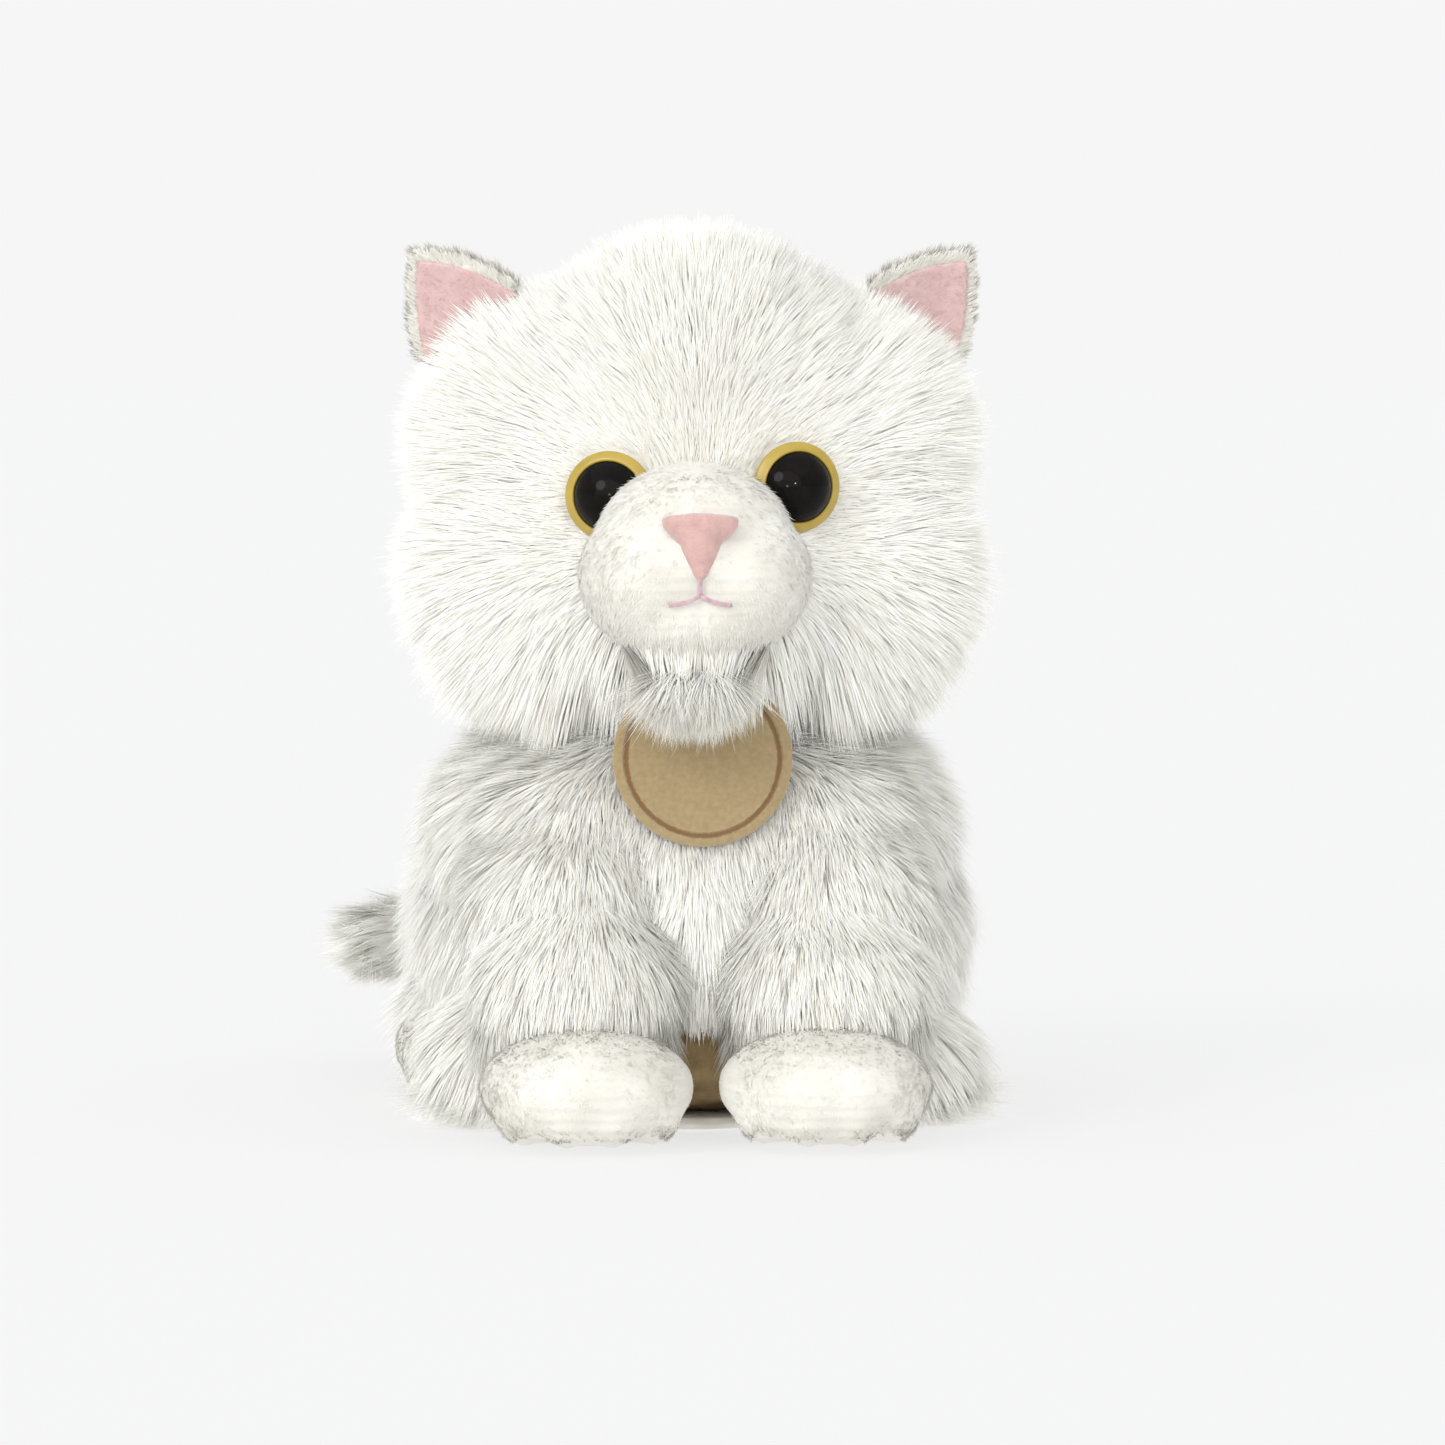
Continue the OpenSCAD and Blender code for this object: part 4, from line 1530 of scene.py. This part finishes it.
# ---------------------------------------------------------------- stage
def aim(obj, azimuth, elevation, distance, target=(0, 0, 0)):
    """Stands a lamp or camera off a target and turns it to face it."""
    az, el = math.radians(azimuth), math.radians(elevation)
    back = Vector((math.sin(az) * math.cos(el), -math.cos(az) * math.cos(el), math.sin(el)))
    obj.location = Vector(target) + back * distance
    obj.rotation_euler = back.to_track_quat("Z", "Y").to_euler()


def build_stage():
    s = bpy.context.scene.cat_stage
    scene = bpy.context.scene
    lens = bpy.data.cameras.new("camera")
    lens.lens, lens.sensor_width = 163.7, 36
    lens.clip_start, lens.clip_end = 0.05, 200
    camera = bpy.data.objects.new("camera", lens)
    scene.collection.objects.link(camera)
    aim(camera, s.azimuth, s.elevation, s.distance, (0.007013, 0, 0.084085))
    scene.camera = camera
    scene.view_settings.view_transform = "Standard"

    for name, azimuth, elevation, power, spread in (
        ("key_softbox", s.azimuth - 38, 26, s.key, 26),
        ("front_softbox", s.azimuth - 12, 2, s.front, 80),
        ("top_softbox", s.azimuth - 10, 66, s.top, 100),
        ("small_lamp", s.azimuth + 12, 9, s.glint, 3.2),
    ):
        lamp = bpy.data.lights.new(name, "SUN")
        lamp.energy, lamp.angle = power, math.radians(spread)
        obj = bpy.data.objects.new(name, lamp)
        scene.collection.objects.link(obj)
        aim(obj, azimuth, elevation, 2)

    lamp = bpy.data.lights.new("low_spot", "SPOT")
    lamp.energy, lamp.spot_size, lamp.spot_blend = s.low, math.radians(9.5), 1.0
    lamp.shadow_soft_size = 0.12
    obj = bpy.data.objects.new("low_spot", lamp)
    scene.collection.objects.link(obj)
    aim(obj, s.azimuth - 10, 2.5, 1.25, (0, 0, 0.05))

    world = bpy.data.worlds.new("pale_studio")
    world.use_nodes = True
    tree = world.node_tree
    tree.nodes.clear()
    rays = add_node(tree, "ShaderNodeLightPath")
    seen = add_node(
        tree, "ShaderNodeBackground", inputs={"Color": tuple(s.backdrop) + (1,), "Strength": 1.0}
    )
    lit = add_node(tree, "ShaderNodeBackground", inputs={"Color": (0.98, 0.99, 1, 1), "Strength": s.ambient})
    mix = add_node(
        tree,
        "ShaderNodeMixShader",
        inputs={0: rays.outputs["Is Camera Ray"], 1: lit.outputs[0], 2: seen.outputs[0]},
    )
    add_node(tree, "ShaderNodeOutputWorld", inputs={"Surface": mix.outputs[0]})
    scene.world = world

    pick_only(None)
    bpy.ops.mesh.primitive_circle_add(vertices=96, radius=60, fill_type="NGON", location=(0, 0, 0))
    floor = bpy.context.object
    floor.name = floor.data.name = "studio_floor"
    mat, tree, bsdf = new_material(
        "matt_vinyl_floor",
        base_color=tuple(c * s.floor_share for c in s.backdrop) + (1,),
        roughness=1.0,
        specular_ior_level=0.0,
        emission_color=tuple(s.backdrop) + (1,),
        emission_strength=s.floor_glow,
    )
    floor.data.materials.append(mat)


# ---------------------------------------------------------------- settings
def length_prop(name, description, default, low=0.1, high=40.0):
    return bpy.props.FloatProperty(name=name, description=description, default=default, min=low, max=high)


def colour_prop(name, description, code):
    return bpy.props.FloatVectorProperty(
        name=name, description=description, default=linear(code)[:3], min=0, max=1, size=3, subtype="COLOR"
    )


def number_prop(name, description, default, low=0.0, high=20.0):
    return bpy.props.FloatProperty(name=name, description=description, default=default, min=low, max=high)


class CatPile(bpy.types.PropertyGroup):
    """Pile lengths in millimetres and fibres in each square millimetre of backing."""

    face_mm: length_prop("Face pile", "Pile on the face and forehead, in millimetres", 6.5)
    cheek_mm: length_prop("Cheek pile", "Pile on the cheeks and the back of the head, in millimetres", 16.0)
    crown_mm: length_prop("Crown pile", "Pile on top of the head, in millimetres", 13.0)
    chin_mm: length_prop("Chin pile", "Straight pile that hangs under the chin, in millimetres", 37.0)
    muzzle_mm: length_prop("Muzzle pile", "Short pile of the muzzle, in millimetres", 2.6)
    ear_mm: length_prop("Ear pile", "Pile on the backs and rims of the ears, in millimetres", 4.4)
    body_mm: length_prop("Body pile", "Pile on the torso, in millimetres", 18.0)
    leg_mm: length_prop("Leg pile", "Pile on the front legs, in millimetres", 13.0)
    haunch_mm: length_prop("Haunch pile", "Pile on the haunches, in millimetres", 15.0)
    paw_mm: length_prop("Paw pile", "Short pile of the paws and feet, in millimetres", 2.8)
    tail_mm: length_prop("Tail pile", "Pile on the tail, in millimetres", 15.0)
    fibre_mm: length_prop("Long fibre width", "Width drawn for a long fibre, in millimetres", 0.22, 0.05, 1)
    short_fibre_mm: length_prop("Short fibre width", "Width drawn for a short fibre, in millimetres", 0.22, 0.05, 1)
    head_density: number_prop("Head density", "Fibres in a square millimetre of the head", 5.0)
    chin_density: number_prop("Chin density", "Fibres in a square millimetre under the chin", 9.0)
    body_density: number_prop("Body density", "Fibres in a square millimetre of the body", 4.0)
    leg_density: number_prop("Leg density", "Fibres in a square millimetre of the front legs", 4.6)
    tail_density: number_prop("Tail density", "Fibres in a square millimetre of the tail", 4.0)
    short_density: number_prop("Muzzle density", "Fibres in a square millimetre of the muzzle", 13.0)
    paw_density: number_prop("Paw density", "Fibres in a square millimetre of the paws", 9.0)
    ear_density: number_prop("Ear density", "Fibres in a square millimetre of the ears", 7.0)


class CatColours(bpy.types.PropertyGroup):
    """Colours of the cloths and hard parts."""

    fur_root: colour_prop("Long pile root", "Warm dull tone near the backing", "#F6F3EA")
    fur_fibre: colour_prop("Long pile", "White of most long fibres", "#FAF9F3")
    fur_bright: colour_prop("Long pile bright", "Brighter long fibres", "#FDFDFB")
    short_root: colour_prop("Short pile root", "Warm tone near the backing of short pile", "#E2DFD5")
    short_fibre: colour_prop("Short pile", "Cream white of most short fibres", "#E9E7DF")
    short_bright: colour_prop("Short pile bright", "Brighter short fibres", "#EFEDE7")
    ear_pink_root: colour_prop("Ear pink root", "Deeper pink of the velour", "#D2AFAC")
    ear_pink: colour_prop("Ear pink", "Pink of the velour nap", "#DBBDBA")
    ear_pink_bright: colour_prop("Ear pink bright", "Paler pink of the velour nap", "#E4CBC8")
    eye_yellow: colour_prop("Eye yellow", "Sprayed yellow of the eye base", "#B89D38")
    nose_pink: colour_prop("Nose pink", "Flocked nose", "#D8B0AA")
    mouth_thread: colour_prop("Mouth thread", "Embroidered mouth", "#D3B2BA")
    suede: colour_prop("Suede", "Sandy nap of the medallion", "#A6916A")
    suede_stamp: colour_prop("Stamped ring", "Browned line near the medallion's rim", "#7A5A34")
    suede_edge: colour_prop("Cut edge", "Cut edge of the medallion", "#A8885A")


class CatStage(bpy.types.PropertyGroup):
    """Camera place, lamps and floor."""

    azimuth: number_prop("Azimuth", "Degrees round from straight in front", -3.5, -180, 180)
    elevation: number_prop("Elevation", "Degrees above level", 3.0, -90, 90)
    distance: bpy.props.FloatProperty(
        name="Distance", description="From camera to cat", default=1.4, unit="LENGTH"
    )
    key: number_prop("Key", "Strength of the large soft lamp", 0.7)
    top: number_prop("Top", "Strength of the broad soft lamp overhead", 0.6)
    front: number_prop("Front", "Strength of the broad soft lamp near the camera", 1.2)
    low: number_prop("Low lamp", "Watts of the low spot that fills the body", 9.0, 0, 100)
    glint: number_prop("Glint", "Strength of the small lamp", 0.28)
    ambient: number_prop("Ambient", "Strength of the studio's even light", 0.72)
    backdrop: colour_prop("Backdrop", "Pale studio background", "#F6F6F6")
    floor_share: number_prop("Floor share", "How much lamp light the floor gives back", 0.22, 0, 1)
    floor_glow: number_prop("Floor glow", "How much the lit floor glows by itself", 0.768, 0, 2)


def operator(word, label, text, work):
    """One operator for a piece or a group of like pieces."""

    def execute(self, context):
        work()
        return {"FINISHED"}

    return type(
        f"CAT_OT_{word}",
        (bpy.types.Operator,),
        {
            "__doc__": text,
            "bl_idname": f"cat.{word}",
            "bl_label": label,
            "bl_options": {"REGISTER", "UNDO"},
            "execute": execute,
        },
    )


OPERATORS = [
    operator("stage", "Stage", "Camera, lamps, backdrop and floor", build_stage),
    operator("head", "Head", "Head cover and its long pile", build_head),
    operator("muzzle", "Muzzle", "Muzzle cover and its short pile", build_muzzle),
    operator("nose_and_mouth", "Nose and mouth", "Flocked nose and embroidered mouth", build_nose_and_mouth),
    operator("eyes", "Eyes", "Eye bases, black domes and lock washers", build_eyes),
    operator("ears", "Ears", "Ear covers, velour linings and their pile", build_ears),
    operator("neck", "Neck", "Gathered neck gusset", build_neck),
    operator("torso", "Torso", "Torso cover and its long pile", build_torso),
    operator("front_legs", "Front legs", "Front legs and paws", build_front_legs),
    operator("hind_legs", "Hind legs", "Haunches and hind feet", build_hind_legs),
    operator("tail", "Tail", "Tail cover and its pile", build_tail),
    operator("belly", "Belly", "Belly panel, pellet bag and care label", build_belly),
    operator("fill", "Fill", "Fibre fill and paw pellets", build_fill),
    operator("tag", "Medallion", "Suede medallion and its thread", build_tag),
]


class CAT_PT_panel(bpy.types.Panel):
    """Lists every step of the cat in the 3D view's sidebar."""

    bl_idname = "CAT_PT_panel"
    bl_label = "Plush cat"
    bl_space_type = "VIEW_3D"
    bl_region_type = "UI"
    bl_category = "Plush cat"

    def draw(self, context):
        for group in (context.scene.cat_pile, context.scene.cat_colours, context.scene.cat_stage):
            box = self.layout.box()
            for key in group.__annotations__:
                box.prop(group, key)
        for made in OPERATORS:
            self.layout.operator(made.bl_idname)


SETTINGS = {"cat_pile": CatPile, "cat_colours": CatColours, "cat_stage": CatStage}


def register():
    for made in list(SETTINGS.values()) + OPERATORS + [CAT_PT_panel]:
        bpy.utils.register_class(made)
    for name, group in SETTINGS.items():
        setattr(bpy.types.Scene, name, bpy.props.PointerProperty(type=group))


def unregister():
    for name in SETTINGS:
        delattr(bpy.types.Scene, name)
    for made in reversed(list(SETTINGS.values()) + OPERATORS + [CAT_PT_panel]):
        bpy.utils.unregister_class(made)


def main():
    register()
    for made in OPERATORS:
        group, word = made.bl_idname.split(".")
        getattr(getattr(bpy.ops, group), word)()
    pick_only(None)


if __name__ == "__main__":
    main()
